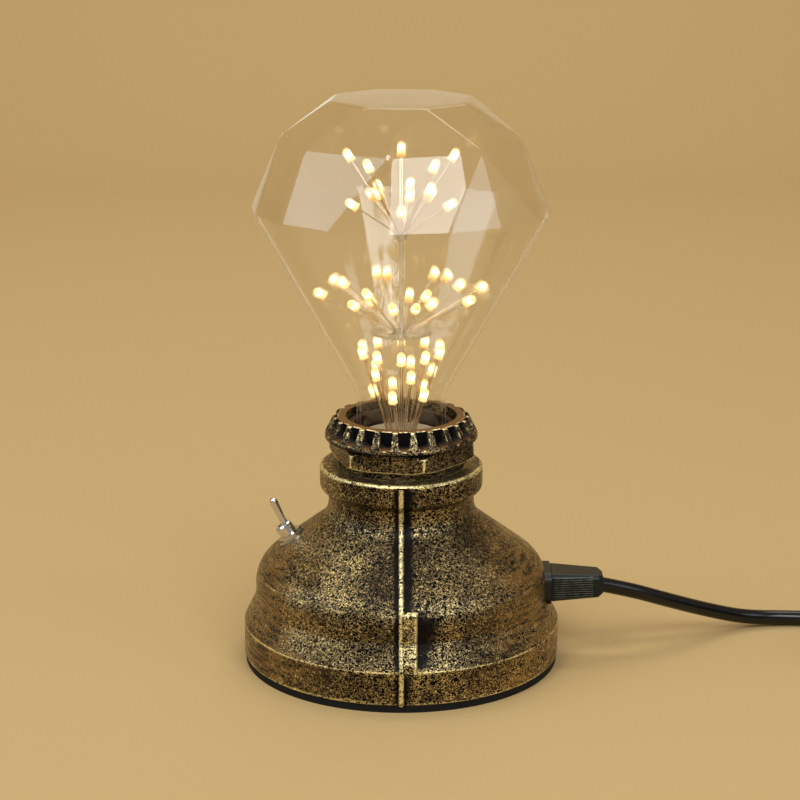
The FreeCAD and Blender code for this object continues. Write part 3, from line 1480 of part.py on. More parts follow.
def inner_wires():
    """The wires inside the base, between the inlet, the switch and the lampholder."""
    tail_x = s.inlet_seat - s.housing_depth - s.pin_tail
    pin_y = s.pin_spacing / 2
    low = s.holder_floor - s.holder_base - s.terminal_height / 2
    side = s.terminal_spacing / 2
    end_y = s.terminal_width / 2 + 0.2

    def tag(along):
        depth = -s.switch_wall - s.switch_depth - s.tag_length
        return SWITCH_FRAME.multVec(Vector(along, 0, depth))

    live = [
        Vector(tail_x, -pin_y, s.inlet_height),
        Vector(tail_x - 9, -pin_y - 3, 22.0),
        Vector(8, -14, 17.0),
        Vector(-12, -13, 17.0),
        Vector(-22, -5, 20.0),
        tag(0.0),
    ]
    switched = [
        tag(s.tag_spacing),
        Vector(-20, 5, 22.0),
        Vector(-16, 11, 26.0),
        Vector(-10, 10.5, 33.0),
        Vector(-side, end_y, low),
    ]
    neutral = [
        Vector(tail_x, pin_y, s.inlet_height),
        Vector(tail_x - 8, pin_y + 3, 24.0),
        Vector(15, 10, 28.0),
        Vector(10, 9, 34.0),
        Vector(side, end_y, low),
    ]
    for label, points in (
        ("live_wire", live),
        ("switched_wire", switched),
        ("neutral_wire", neutral),
    ):
        path = rounded_path(points, label)
        keep(shaped(f"{label}_tube", tube_along(path, s.wire_radius, label)), label)


cast_base()
bottom_parts()
hex_bushing()
fluted_ring()
lampholder()
toggle_switch()
mains_inlet()
connector()
cord()
mains_plug()
bulb()
starburst(
    "lower",
    [
        (4.6, 0.621, 0.844, 10, -90),
        (4.0, 0.584, 0.641, 5, -72),
        (4.0, 0.678, 0.431, 5, -108),
    ],
    s.board_height,
    s.disc_height,
)
starburst(
    "middle",
    [
        (3.6, 0.826, 0.419, 8, -80),
        (2.6, 0.569, 0.487, 6, -65),
        (1.8, 0.349, 0.3, 4, -105),
    ],
    s.disc_height + s.disc_thickness,
    s.stem_top,
)
starburst(
    "upper",
    [
        (1.5, 0.441, 0.562, 5, -54),
        (1.5, 0.359, 0.24, 5, -90),
        (1.2, 0.206, 0.332, 5, -72),
    ],
    s.stem_top,
    s.girdle_height + s.break_rise + s.table_rise,
)
inner_wires()
doc.recompute()

for thing in doc.Objects:
    if "Invalid" in thing.State or "Error" in thing.State:
        raise RuntimeError(f"{thing.Name} failed: {thing.State}")

os.makedirs("parts", exist_ok=True)
for piece in finished:
    shape = piece.Shape
    if shape.isNull() or not shape.isValid():
        raise RuntimeError(f"{piece.Label} has no valid shape")
    shape.exportStep(f"parts/{piece.Label}.step")
    print(f"{piece.Label}: {len(shape.Solids)} solids, {shape.Volume:.0f} cubic mm")
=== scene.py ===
import bmesh
import bpy
import json
import math
import numpy as np
from mathutils import Matrix, Vector


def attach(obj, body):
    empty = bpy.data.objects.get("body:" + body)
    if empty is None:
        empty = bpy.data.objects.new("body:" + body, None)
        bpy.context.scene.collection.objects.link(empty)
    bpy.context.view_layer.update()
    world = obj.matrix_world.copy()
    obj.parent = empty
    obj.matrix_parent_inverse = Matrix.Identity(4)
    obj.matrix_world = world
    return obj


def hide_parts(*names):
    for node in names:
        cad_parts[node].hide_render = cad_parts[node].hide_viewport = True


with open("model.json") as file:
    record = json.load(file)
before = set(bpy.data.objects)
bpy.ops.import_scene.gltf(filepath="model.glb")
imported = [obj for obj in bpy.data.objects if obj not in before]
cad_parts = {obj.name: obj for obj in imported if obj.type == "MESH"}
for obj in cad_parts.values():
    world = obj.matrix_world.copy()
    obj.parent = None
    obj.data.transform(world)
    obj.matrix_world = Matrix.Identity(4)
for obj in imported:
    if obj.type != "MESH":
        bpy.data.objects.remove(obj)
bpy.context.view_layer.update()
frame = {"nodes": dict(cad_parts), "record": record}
nodes = frame["nodes"]
MM = 0.001


# Camera

LENS = 103.2
SENSOR_WIDTH = 36.0
CAMERA_PLACE = (-0.0004, -0.7233, 0.2851)
CAMERA_TILT = math.radians(74.76)


def make_camera():
    data = bpy.data.cameras.new("camera")
    data.lens = LENS
    data.sensor_width = SENSOR_WIDTH
    data.clip_start = 0.01
    data.clip_end = 50.0
    camera = bpy.data.objects.new("camera", data)
    camera.location = CAMERA_PLACE
    camera.rotation_euler = (CAMERA_TILT, 0.0, 0.0)
    bpy.context.scene.collection.objects.link(camera)
    bpy.context.scene.camera = camera


make_camera()

# Node trees


class Nodes:
    """A node tree, with short ways to add nodes and links."""

    def __init__(self, tree):
        self.tree = tree

    def node(self, kind, **settings):
        made = self.tree.nodes.new(kind)
        for name, value in settings.items():
            setattr(made, name, value)
        return made

    def link(self, source, target):
        self.tree.links.new(source, target)

    def put(self, target, value):
        """Sets a socket, or links it when the value is another socket."""
        if isinstance(value, bpy.types.NodeSocket):
            self.link(value, target)
        else:
            target.default_value = value

    def math(self, operation, first, second=0.0, third=0.0, clamp=False):
        made = self.node("ShaderNodeMath", operation=operation, use_clamp=clamp)
        for socket, value in zip(made.inputs, (first, second, third)):
            self.put(socket, value)
        return made.outputs["Value"]

    def vector(self, *parts):
        made = self.node("ShaderNodeCombineXYZ")
        for socket, value in zip(made.inputs, parts):
            self.put(socket, value)
        return made.outputs["Vector"]

    def blend(self, factor, first, second):
        """Two shaders mixed, with the second's share as the factor."""
        made = self.node("ShaderNodeMixShader")
        self.put(made.inputs["Fac"], factor)
        self.link(first, made.inputs[1])
        self.link(second, made.inputs[2])
        return made.outputs["Shader"]


class Shader(Nodes):
    """A material's tree, with the patterns that the finishes need."""

    def __init__(self, name):
        self.material = bpy.data.materials.new(name)
        self.material.use_nodes = True
        super().__init__(self.material.node_tree)
        self.tree.nodes.clear()
        self.output = self.node("ShaderNodeOutputMaterial")
        self.bsdf = self.node("ShaderNodeBsdfPrincipled")
        self.link(self.bsdf.outputs["BSDF"], self.output.inputs["Surface"])

    def along(self, axis):
        """The piece's own X, Y or Z, in metres."""
        split = self.node("ShaderNodeSeparateXYZ")
        self.link(self.node("ShaderNodeTexCoord").outputs["Object"], split.inputs["Vector"])
        return split.outputs[axis]

    def noise(self, scale, detail=3.0, roughness=0.55, stretch=None, distortion=0.0):
        coordinates = self.node("ShaderNodeTexCoord").outputs["Object"]
        if stretch:
            mapping = self.node("ShaderNodeMapping")
            mapping.inputs["Scale"].default_value = stretch
            self.link(coordinates, mapping.inputs["Vector"])
            coordinates = mapping.outputs["Vector"]
        made = self.node("ShaderNodeTexNoise")
        self.link(coordinates, made.inputs["Vector"])
        made.inputs["Scale"].default_value = scale
        made.inputs["Detail"].default_value = detail
        made.inputs["Roughness"].default_value = roughness
        made.inputs["Distortion"].default_value = distortion
        return made.outputs["Fac"]

    def centred(self, noise):
        """A noise's value about zero."""
        return self.math("SUBTRACT", noise, 0.5)

    def weighed(self, base, *pairs):
        """A value with other values added, each by its weight."""
        for value, weight in pairs:
            base = self.math("MULTIPLY_ADD", value, weight, base)
        return base

    def span(self, value, low, high, out_low=0.0, out_high=1.0):
        """A value's range mapped smoothly to another and held at its ends."""
        made = self.node("ShaderNodeMapRange", interpolation_type="SMOOTHSTEP")
        self.put(made.inputs["Value"], value)
        made.inputs["From Min"].default_value = low
        made.inputs["From Max"].default_value = high
        made.inputs["To Min"].default_value = out_low
        made.inputs["To Max"].default_value = out_high
        return made.outputs["Result"]

    def mix(self, factor, first, second):
        made = self.node("ShaderNodeMix", data_type="RGBA")
        self.put(made.inputs["Factor"], factor)
        for name, value in (("A", first), ("B", second)):
            socket = next(s for s in made.inputs if s.name == name and s.type == "RGBA")
            if isinstance(value, tuple):
                value = (*value, 1.0)
            self.put(socket, value)
        return next(s for s in made.outputs if s.type == "RGBA")

    def attribute(self, name):
        return self.node("ShaderNodeAttribute", attribute_name=name).outputs["Fac"]

    def bump(self, height, strength, distance):
        made = self.node("ShaderNodeBump")
        made.inputs["Strength"].default_value = strength
        made.inputs["Distance"].default_value = distance
        self.link(height, made.inputs["Height"])
        self.link(made.outputs["Normal"], self.bsdf.inputs["Normal"])

    def set(self, **values):
        for name, value in values.items():
            socket = self.bsdf.inputs[name.replace("_", " ")]
            if isinstance(value, tuple):
                value = (*value, 1.0)
            self.put(socket, value)


# Materials

CLOUDS_SCALE = 120.0
GRAIN_SCALE = 1500.0
GRAIN_DEPTH = 0.0001
UNEVEN = 0.15


def plain(name, colour, roughness, metallic=0.0, grain=0.0, shine=0.5):
    """One colour, a little uneven in its gloss, with a fine grain where asked."""
    shader = Shader(name)
    clouds = shader.noise(CLOUDS_SCALE, 4.0)
    smooth = roughness * (1 - UNEVEN)
    dull = roughness * (1 + UNEVEN)
    shader.set(Base_Color=colour, Metallic=metallic, Specular_IOR_Level=shine)
    shader.set(Roughness=shader.span(clouds, 0.3, 0.7, smooth, dull))
    if grain:
        shader.bump(shader.noise(GRAIN_SCALE), grain, GRAIN_DEPTH)
    return shader.material


WRINKLE_SCALE = 960.0
SPECK_SCALE = 3000.0
PATCH_SCALE = 60.0
STREAK_SCALE = 340.0
SHEEN_START = 0.018
SHEEN_FULL = 0.044


def antique(name, dark, brown_wash_and_sheen, gold, coverage):
    """Black cast metal with gold rubbed on its wrinkles and worn through at its edges.

    A wrinkle runs where a noise passes its middle value. The level says how far a
    place lies inside a wrinkle, and gold lies where the level is over zero.
    """
    shader = Shader(name)
    wrinkles = shader.noise(WRINKLE_SCALE, 2.0, 0.5, (1.0, 1.0, 1.2), 0.9)
    specks = shader.centred(shader.noise(SPECK_SCALE, 2.0, 0.5))
    patches = shader.centred(shader.noise(PATCH_SCALE, 3.0, 0.6))
    streaks = shader.noise(STREAK_SCALE, 4.0, 0.65, (0.3, 0.3, 2.4), 0.3)
    wear_and_painted_light = shader.attribute("wear_and_painted_light")
    brushed = shader.attribute("brushed")
    # Painted sheen: the sides left and right of the camera's view are washed brown.
    side = shader.span(shader.math("ABSOLUTE", shader.along("X")), SHEEN_START, SHEEN_FULL)
    # Hollows keep less gold and less brown; the painted shadow beside the base's ridges and pads
    # comes in here too.
    hollow = shader.math("MINIMUM", wear_and_painted_light, 0.0)
    crest = shader.math("ABSOLUTE", shader.centred(wrinkles))
    level = shader.math("SUBTRACT", coverage, crest)
    level = shader.weighed(level, (patches, 0.07), (hollow, 0.035), (brushed, -0.03))
    grains = shader.span(level, -0.004, 0.008)
    # Edges are worn through in specks and streaks.
    broken = shader.weighed(
        shader.math("MAXIMUM", wear_and_painted_light, 0.0),
        (level, 3.0),
        (specks, 1.3),
        (shader.centred(streaks), 1.2),
    )
    edge = shader.span(broken, 0.34, 0.7)
    gold_share = shader.math("MAXIMUM", grains, edge)
    # A brown wash lies round each grain and where the piece is brushed, and a painted brown sheen
    # lies on the left and right sides as the camera sees them.
    wash_and_sheen = shader.math("MULTIPLY", side, shader.span(streaks, 0.41, 0.58))
    wash_and_sheen = shader.math("MAXIMUM", wash_and_sheen, shader.span(level, -0.04, 0.0, 0.0, 0.26))
    wash_and_sheen = shader.math("MAXIMUM", wash_and_sheen, shader.math("MULTIPLY", brushed, 0.9))
    wash_and_sheen = shader.math("MULTIPLY", wash_and_sheen, shader.math("ADD", hollow, 1.0))
    pale = tuple(min(1.0, value * 1.3 + 0.06) for value in gold)
    metal = shader.math("MAXIMUM", gold_share, shader.math("MULTIPLY", wash_and_sheen, 0.6))
    shader.set(
        Base_Color=shader.mix(
            gold_share, shader.mix(wash_and_sheen, dark, brown_wash_and_sheen), shader.mix(edge, gold, pale)
        ),
        Metallic=shader.span(metal, 0.0, 1.0, 0.0, 0.9),
        Roughness=shader.span(gold_share, 0.0, 1.0, 0.28, 0.36),
        Specular_IOR_Level=0.08,
    )
    shader.bump(shader.math("MULTIPLY_ADD", crest, -2.0, 1.0), 0.5, 0.0003)
    return shader.material


GLASS_TINT = (1.0, 1.0, 0.99)
GLASS_BENDING = 1.015
GLASS_MIRRORING = 1.5
MIRROR_GAIN = 1.2
MIRROR_MOST = 0.16
CLEAR_SHARE = 0.75
PAINTED_RIM_COLOUR = (0.86, 0.83, 0.76, 1.0)


def clear_glass():
    """Thin clear glass, which mirrors as glass does but hardly bends what is behind."""
    shader = Shader("clear_glass")
    shader.set(Base_Color=GLASS_TINT, Roughness=0.0, IOR=GLASS_BENDING, Transmission_Weight=1.0)
    mirror = shader.node("ShaderNodeBsdfGlossy")
    mirror.inputs["Roughness"].default_value = 0.0
    fresnel = shader.node("ShaderNodeFresnel")
    fresnel.inputs["IOR"].default_value = GLASS_MIRRORING
    facing = shader.math("SUBTRACT", 1.0, shader.node("ShaderNodeNewGeometry").outputs["Backfacing"])
    share = shader.math("MULTIPLY", fresnel.outputs["Fac"], facing)
    share = shader.math("MINIMUM", shader.math("MULTIPLY", share, MIRROR_GAIN), MIRROR_MOST)
    see_through = shader.node("ShaderNodeBsdfTransparent")
    see_through.inputs["Color"].default_value = (*GLASS_TINT, 1.0)
    body = shader.blend(CLEAR_SHARE, shader.bsdf.outputs["BSDF"], see_through.outputs["BSDF"])
    glazed = shader.blend(share, body, mirror.outputs["BSDF"])
    # Where the wall is seen along its surface, a pale diffuse coat is a painted highlight, standing
    # in for the light that glass edges catch in a bright room.
    rim_highlight = shader.node("ShaderNodeBsdfDiffuse")
    rim_highlight.inputs["Color"].default_value = PAINTED_RIM_COLOUR
    grazing = shader.span(fresnel.outputs["Fac"], 0.34, 0.8, 0.0, 0.6)
    highlighted = shader.blend(shader.math("MULTIPLY", grazing, facing), glazed, rim_highlight.outputs["BSDF"])
    # Light passes straight through to what is under and behind the bulb.
    path = shader.node("ShaderNodeLightPath").outputs
    straight = shader.math("MAXIMUM", path["Is Shadow Ray"], path["Is Diffuse Ray"])
    surface = shader.blend(straight, highlighted, see_through.outputs["BSDF"])
    shader.link(surface, shader.output.inputs["Surface"])
    return shader.material


def lit_bead():
    """Amber resin that glows most round the light in its middle."""
    shader = Shader("lit_bead")
    glow = shader.attribute("glow")
    shader.set(
        Base_Color=(0.9, 0.62, 0.25),
        Roughness=0.25,
        Emission_Color=shader.mix(glow, (1.0, 0.56, 0.17), (1.0, 0.8, 0.46)),
        Emission_Strength=shader.span(glow, 0.0, 1.0, 0.55, 2.6),
    )
    return shader.material


RIB_PITCH = 0.79
GRIP_START = 50.8
GRIP_END = 64.0
GRIP_HEIGHT = 25.0
GRIP_HALF = 4.2
GRIP_FADE = 0.3


def ribbed_plastic():
    """Black plastic, paler on the ribs between the grip's grooves."""
    shader = Shader("connector_plastic")
    along = shader.along("X")
    rise = shader.math("SUBTRACT", shader.along("Z"), GRIP_HEIGHT * MM)
    turn = shader.math("MULTIPLY", rise, 2 * math.pi / (RIB_PITCH * MM))
    crest = shader.span(shader.math("COSINE", turn), -0.2, -0.9)
    half = shader.math("ABSOLUTE", rise)
    near = shader.span(half, GRIP_HALF * MM, (GRIP_HALF - GRIP_FADE) * MM)
    behind_flange = shader.span(along, GRIP_START * MM, (GRIP_START + GRIP_FADE) * MM)
    before_end = shader.span(along, GRIP_END * MM, (GRIP_END - 2 * GRIP_FADE) * MM)
    # The rib crests are paler, unevenly along the grip.
    patchy = shader.span(shader.noise(500.0), 0.35, 0.6, 0.3, 1.0)
    ribs = crest
    for limit in (near, behind_flange, before_end, patchy):
        ribs = shader.math("MULTIPLY", ribs, limit)
    shader.set(
        Base_Color=shader.mix(ribs, (0.008, 0.011, 0.009), (0.1, 0.11, 0.095)),
        Roughness=0.4,
        Specular_IOR_Level=0.22,
    )
    shader.bump(shader.noise(GRAIN_SCALE), 0.25, GRAIN_DEPTH)
    return shader.material


def cast_antique():
    black = (0.002, 0.002, 0.002)
    return antique("cast_antique", black, (0.18, 0.093, 0.026), (0.8, 0.61, 0.27), 0.018)


def bronze_antique():
    black = (0.003, 0.0035, 0.005)
    return antique("bronze_antique", black, (0.15, 0.07, 0.02), (0.8, 0.62, 0.29), 0.016)


FINISHES = {
    "cast_antique": cast_antique(),
    "bronze_antique": bronze_antique(),
    "foot_rubber": plain("foot_rubber", (0.006, 0.006, 0.006), 0.7, grain=0.2, shine=0.2),
    "black_card": plain("black_card", (0.02, 0.02, 0.02), 0.6, grain=0.2),
    "zinc_steel": plain("zinc_steel", (0.5, 0.5, 0.48), 0.35, 1.0),
    "holder_plastic": plain("holder_plastic", (0.035, 0.018, 0.009), 0.42, grain=0.1, shine=0.1),
    "holder_brass": plain("holder_brass", (0.72, 0.5, 0.22), 0.3, 1.0),
    "switch_case": plain("switch_case", (0.02, 0.04, 0.1), 0.4),
    "switch_chrome": plain("switch_chrome", (0.66, 0.66, 0.67), 0.17, 1.0),
    "inlet_plastic": plain("inlet_plastic", (0.008, 0.008, 0.008), 0.4, grain=0.1, shine=0.3),
    "nickel_pins": plain("nickel_pins", (0.66, 0.63, 0.58), 0.22, 1.0),
    "connector_plastic": ribbed_plastic(),
    "cord_black": plain("cord_black", (0.004, 0.004, 0.004), 0.22, shine=0.35),
    "tie_black": plain("tie_black", (0.02, 0.02, 0.02), 0.4),
    "clear_glass": clear_glass(),
    "cap_insulator": plain("cap_insulator", (0.03, 0.025, 0.03), 0.15),
    "led_board": plain("led_board", (0.3, 0.25, 0.17), 0.5),
    "led_metal": plain("led_metal", (0.75, 0.74, 0.72), 0.3, 1.0),
    "led_warm": lit_bead(),
    "led_copper": plain("led_copper", (0.66, 0.53, 0.36), 0.25, 1.0),
    "wire_brown": plain("wire_brown", (0.1, 0.04, 0.02), 0.4),
    "wire_blue": plain("wire_blue", (0.02, 0.07, 0.25), 0.4),
}


def coat(mesh, slot):
    """Gives a mesh one finish all over."""
    mesh.materials.clear()
    mesh.materials.append(FINISHES[slot])
    mesh.polygons.foreach_set("material_index", [0] * len(mesh.polygons))


for part in frame["record"]["subparts"]:
    coat(nodes[part["node"]].data, part["material_slot"])

# Cord: one line from the connector's grip, round the coil and on to the plug

# Chosen points from the grip to the coil, and from the coil to the plug
STRETCH = [
    (65.0, 0, 24.6),
    (76.0, 1.5, 22.0),
    (90.0, 8.0, 15.8),
    (105.0, 17.0, 8.8),
    (119.0, 23.8, 3.6),
    (134.0, 26.2, 2.6),
    (151.0, 24.2, 2.8),
    (168.0, 22.4, 3.5),
    (184.0, 22.0, 3.6),
]
TAIL = [
    (194.0, 22.0, 20.4),
    (206.0, 22.4, 20.2),
    (221.0, 23.4, 17.2),
    (236.0, 24.6, 10.8),
    (249.0, 25.2, 7.0),
    (258.0, 25.4, 6.85),
]
CORD_RADIUS = 2.5
COIL_APPROACH = 5.0
COIL_OUTER = 35.0
COIL_PITCH = 5.6
LAYER_HALF_TURNS = 4
STEPS_PER_HALF_TURN = 6


def coil_points():
    """Control points of the turns, which spiral in and out in four layers."""
    step = COIL_PITCH / 2
    radii = [COIL_OUTER - step * number for number in range(LAYER_HALF_TURNS)]
    inner = COIL_OUTER - step * LAYER_HALF_TURNS
    inward = radii[1:]
    outward = inward[::-1]
    turns = [(radius, 0.0) for radius in radii]
    turns += [(inner, COIL_PITCH)] + [(radius, 0.0) for radius in outward]
    turns += [(COIL_OUTER, COIL_PITCH)] + [(radius, 0.0) for radius in inward]
    turns += [(inner, COIL_PITCH)] + [(radius, 0.0) for radius in outward]
    # The line runs inside its control points, so they stand that much further out.
    reach = 1 / math.cos(math.pi / STEPS_PER_HALF_TURN / 2)
    place = np.array((STRETCH[-1][0] + COIL_APPROACH, *STRETCH[-1][1:]))
    way = 1
    points = []
    for radius, rise in turns:
        centre = place + np.array((0, -way * radius, 0))
        for number in range(STEPS_PER_HALF_TURN):
            angle = math.pi * (number + 0.5) / STEPS_PER_HALF_TURN
            flat = np.array((way * math.sin(angle), way * math.cos(angle), 0)) * radius * reach
            points.append(tuple(centre + flat + (0, 0, rise * (1 - math.cos(angle)) / 2)))
        place = centre + np.array((0, -way * radius, rise))
        way = -way
    return points


def cord_curve(name, points):
    """A round cord along its control points."""
    data = bpy.data.curves.new(name, "CURVE")
    data.dimensions = "3D"
    data.bevel_depth = CORD_RADIUS * MM
    data.bevel_resolution = 6
    data.resolution_u = 6
    data.use_fill_caps = True
    spline = data.splines.new("NURBS")
    spline.points.add(len(points) - 1)
    for target, point in zip(spline.points, points):
        target.co = (*(value * MM for value in point), 1.0)
    spline.order_u = 3
    spline.use_endpoint_u = True
    made = bpy.data.objects.new(name, data)
    bpy.context.scene.collection.objects.link(made)
    return made


mains_cord = cord_curve("mains_cord", STRETCH + coil_points() + TAIL)
mains_cord.data.materials.append(FINISHES["cord_black"])
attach(mains_cord, "connector")
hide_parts("supply_cord", "cord_coil", "cord_tail")

# Shape helpers


def add_mesh(name, vertices, faces, normals=None, smooth=True):
    mesh = bpy.data.meshes.new(name)
    mesh.from_pydata([tuple(v) for v in np.asarray(vertices) * MM], [], faces)
    mesh.update()
    mesh.validate()
    if smooth:
        mesh.polygons.foreach_set("use_smooth", [True] * len(mesh.polygons))
    if normals is not None:
        mesh.normals_split_custom_set_from_vertices([tuple(n) for n in normals])
    made = bpy.data.objects.new(name, mesh)
    bpy.context.scene.collection.objects.link(made)
    return made


def grid_faces(rows, columns, closed=True):
    """Quads of a grid, whose columns close on themselves unless told otherwise."""
    faces = []
    for row in range(rows - 1):
        for column in range(columns if closed else columns - 1):
            a = row * columns + column
            b = row * columns + (column + 1) % columns
            faces.append((a, b, b + columns, a + columns))
    return faces


def rounded_profile(corners, steps=7):
    """A profile of (radius, height, rounding) corners with its corners as arcs."""
    points = []
    for index, (radius, height, rounding) in enumerate(corners):
        here = np.array((radius, height), float)
        if not rounding or index in (0, len(corners) - 1):
            points.append(here)
            continue
        back = np.array(corners[index - 1][:2], float) - here
        ahead = np.array(corners[index + 1][:2], float) - here
        back /= np.linalg.norm(back)
        ahead /= np.linalg.norm(ahead)
        half = math.acos(max(-1.0, min(1.0, float(back @ ahead)))) / 2
        middle = back + ahead
        middle /= np.linalg.norm(middle)
        centre = here + middle * rounding / math.sin(half)
        start = here + back * rounding / math.tan(half) - centre
        end = here + ahead * rounding / math.tan(half) - centre
        first = math.atan2(start[1], start[0])
        sweep = (math.atan2(end[1], end[0]) - first + math.pi) % (2 * math.pi) - math.pi
        for step in range(steps + 1):
            angle = first + sweep * step / steps
            points.append(centre + rounding * np.array((math.cos(angle), math.sin(angle))))
    return points


def refined(points, longest):
    """A profile with its long stretches divided."""
    out = [points[0]]
    for start, end in zip(points, points[1:]):
        count = max(1, math.ceil(float(np.linalg.norm(end - start)) / longest))
        out += [start + (end - start) * step / count for step in range(1, count + 1)]
    return out


def vertex_rows(mesh, name):
    """Every vertex's place or normal, as rows of three."""
    values = np.empty(len(mesh.vertices) * 3)
    mesh.vertices.foreach_get(name, values)
    return values.reshape(-1, 3)


def store(mesh, name, values):
    attribute = mesh.attributes.get(name) or mesh.attributes.new(name, "FLOAT", "POINT")
    attribute.data.foreach_set("value", np.asarray(values, np.float32))


def mark_wear(made, low, high, extra=None):
    """Stores how sharply each vertex stands out, from -1 in a hollow to 1 on an edge.

    Wear starts at the low bend and is full at the high one, both per millimetre. A
    function of the places and the values so far can add to them, such as painted highlights and
    painted shade.
    """
    mesh = made.data
    count = len(mesh.vertices)
    places = vertex_rows(mesh, "co")
    normals = vertex_rows(mesh, "normal")
    pairs = np.empty(len(mesh.edges) * 2, int)
    mesh.edges.foreach_get("vertices", pairs)
    pairs = pairs.reshape(-1, 2)
    both = np.vstack((pairs, pairs[:, ::-1]))
    apart = places[both[:, 1]] - places[both[:, 0]]
    squared = np.maximum((apart**2).sum(1), 1e-12)
    bend = -2 * (apart * normals[both[:, 0]]).sum(1) / squared * MM
    highest = np.zeros(count)
    np.maximum.at(highest, both[:, 0], bend)
    lowest = np.zeros(count)
    np.minimum.at(lowest, both[:, 0], bend)
    edge = np.clip((highest - low) / (high - low), 0, 1)
    hollow = np.clip((-lowest - low) / (high - low), 0, 1)
    wear_and_painted_light = edge - hollow
    degree = np.maximum(np.bincount(both[:, 0], minlength=count), 1)
    for _ in range(2):
        gathered = np.zeros(count)
        np.add.at(gathered, both[:, 0], wear_and_painted_light[both[:, 1]])
        wear_and_painted_light = 0.5 * wear_and_painted_light + 0.5 * gathered / degree
    if extra:
        wear_and_painted_light = np.clip(extra(places / MM, wear_and_painted_light), -1, 1)
    store(mesh, "wear_and_painted_light", wear_and_painted_light)


def settle(made):
    """Gives an object the mesh that its modifiers make, and takes them off."""
    bpy.context.view_layer.update()
    evaluated = made.evaluated_get(bpy.context.evaluated_depsgraph_get())
    mesh = bpy.data.meshes.new_from_object(evaluated)
    made.modifiers.clear()
    made.data = mesh


def cut_away(made, cutters):
    for cutter in cutters:
        modifier = made.modifiers.new("cut", "BOOLEAN")
        modifier.operation = "DIFFERENCE"
        modifier.solver = "EXACT"
        modifier.object = cutter
    settle(made)
    for cutter in cutters:
        bpy.data.objects.remove(cutter)


def join(made, others):
    """Adds other objects' meshes to an object's own."""
    whole = bmesh.new()
    whole.from_mesh(made.data)
    for other in others:
        whole.from_mesh(other.data)
        bpy.data.objects.remove(other)
    whole.to_mesh(made.data)
    whole.free()


def stand_for(made, node, slot, body="root"):
    """Puts a finished piece in a CAD node's place."""
    coat(made.data, slot)
    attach(made, body)
    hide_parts(node)


def lathe(name, profile, segments, closed=True):
    """A profile turned about the Z axis, and joined end to end when it is closed."""
    angles = np.linspace(0, 2 * math.pi, segments, endpoint=False)
    rows = [
        np.stack((p[0] * np.cos(angles), p[0] * np.sin(angles), np.full(segments, p[1])), 1)
        for p in profile
    ]
    faces = grid_faces(len(rows), segments)
    if closed:
        last = (len(rows) - 1) * segments
        for column in range(segments):
            following = (column + 1) % segments
            faces.append((last + column, last + following, following, column))
    return add_mesh(name, np.vstack(rows), faces)


def set_outward(made):
    """Turns every face outwards."""
    whole = bmesh.new()
    whole.from_mesh(made.data)
    bmesh.ops.recalc_face_normals(whole, faces=whole.faces)
    whole.to_mesh(made.data)
    whole.free()


# Base

# Radius, height and rounding of the casting's corners, up its outside and down its bore
SKIN = [
    (43.9, 2.4, 0),
    (52.4, 2.4, 0.6),
    (52.4, 13.4, 1.1),
    (50.4, 17.2, 4.0),
    (48.35, 21.8, 3.0),
    (48.35, 32.0, 11.5),
    (24.0, 50.35, 8.0),
    (24.0, 58.2, 1.2),
    (26.8, 58.2, 2.2),
    (26.8, 66.8, 1.1),
    (20.5, 66.8, 0.5),
    (20.5, 48.2, 0),
    (43.9, 30.6, 0),
]


def bar(name, low_ring, high_ring):
    """A solid between two like rings of points."""
    count = len(low_ring)
    faces = grid_faces(2, count)
    faces += [tuple(range(count))[::-1], tuple(range(count, 2 * count))]
    made = add_mesh(name, [*low_ring, *high_ring], faces, smooth=False)
    set_outward(made)
    return made


INLET_HEIGHT = 25.0
PAST_THE_WALL = 60.0
CORNER_STEPS = 6


def inlet_slab(name, low_x, half_width, half_height, corner):
    """A round cornered opening for the inlet, from inside the wall to outside it."""
    ring = []
    for quarter, (side, up) in enumerate(((1, 1), (-1, 1), (-1, -1), (1, -1))):
        for step in range(CORNER_STEPS + 1):
            angle = math.pi / 2 * (quarter + step / CORNER_STEPS)
            y = side * (half_width - corner) + corner * math.cos(angle)
            z = INLET_HEIGHT + up * (half_height - corner) + corner * math.sin(angle)
            ring.append((y, z))
    return bar(name, [(low_x, *p) for p in ring], [(PAST_THE_WALL, *p) for p in ring])


# The switch stands square on the shoulder, at the shoulder's slope.
SWITCH_SEAT = np.array((-36.3, 0.0, 41.08))
SLOPE = math.radians(37.0)
SWITCH_AXIS = np.array((-math.sin(SLOPE), 0.0, math.cos(SLOPE)))
SWITCH_UPHILL = np.array((math.cos(SLOPE), 0.0, math.sin(SLOPE)))
SWITCH_SIDE = np.array((0.0, 1.0, 0.0))
PAST_THE_SEAT = 8.0
BAR_SEGMENTS = 64


def switch_round(name, radius, depth):
    """A round bar along the switch's axis, from a depth in the wall to outside it."""
    angles = np.linspace(0, 2 * math.pi, BAR_SEGMENTS, endpoint=False)
    rings = []
    for along in (-depth, PAST_THE_SEAT):
        middle = SWITCH_SEAT + SWITCH_AXIS * along
        across = np.outer(radius * np.cos(angles), SWITCH_UPHILL)
        rings.append(middle + across + np.outer(radius * np.sin(angles), SWITCH_SIDE))
    return bar(name, *rings)


# The ridge's section is given from its foot to its crest, across and out of the skin.
RIDGE_TOP = 66.2
RIDGE_STEP = 1.2
RIDGE_HEIGHT = 0.8
RIDGE_FLANK = [(1.1, -0.6), (0.8, 0.15), (0.55, 0.62), (0.2, 0.78)]


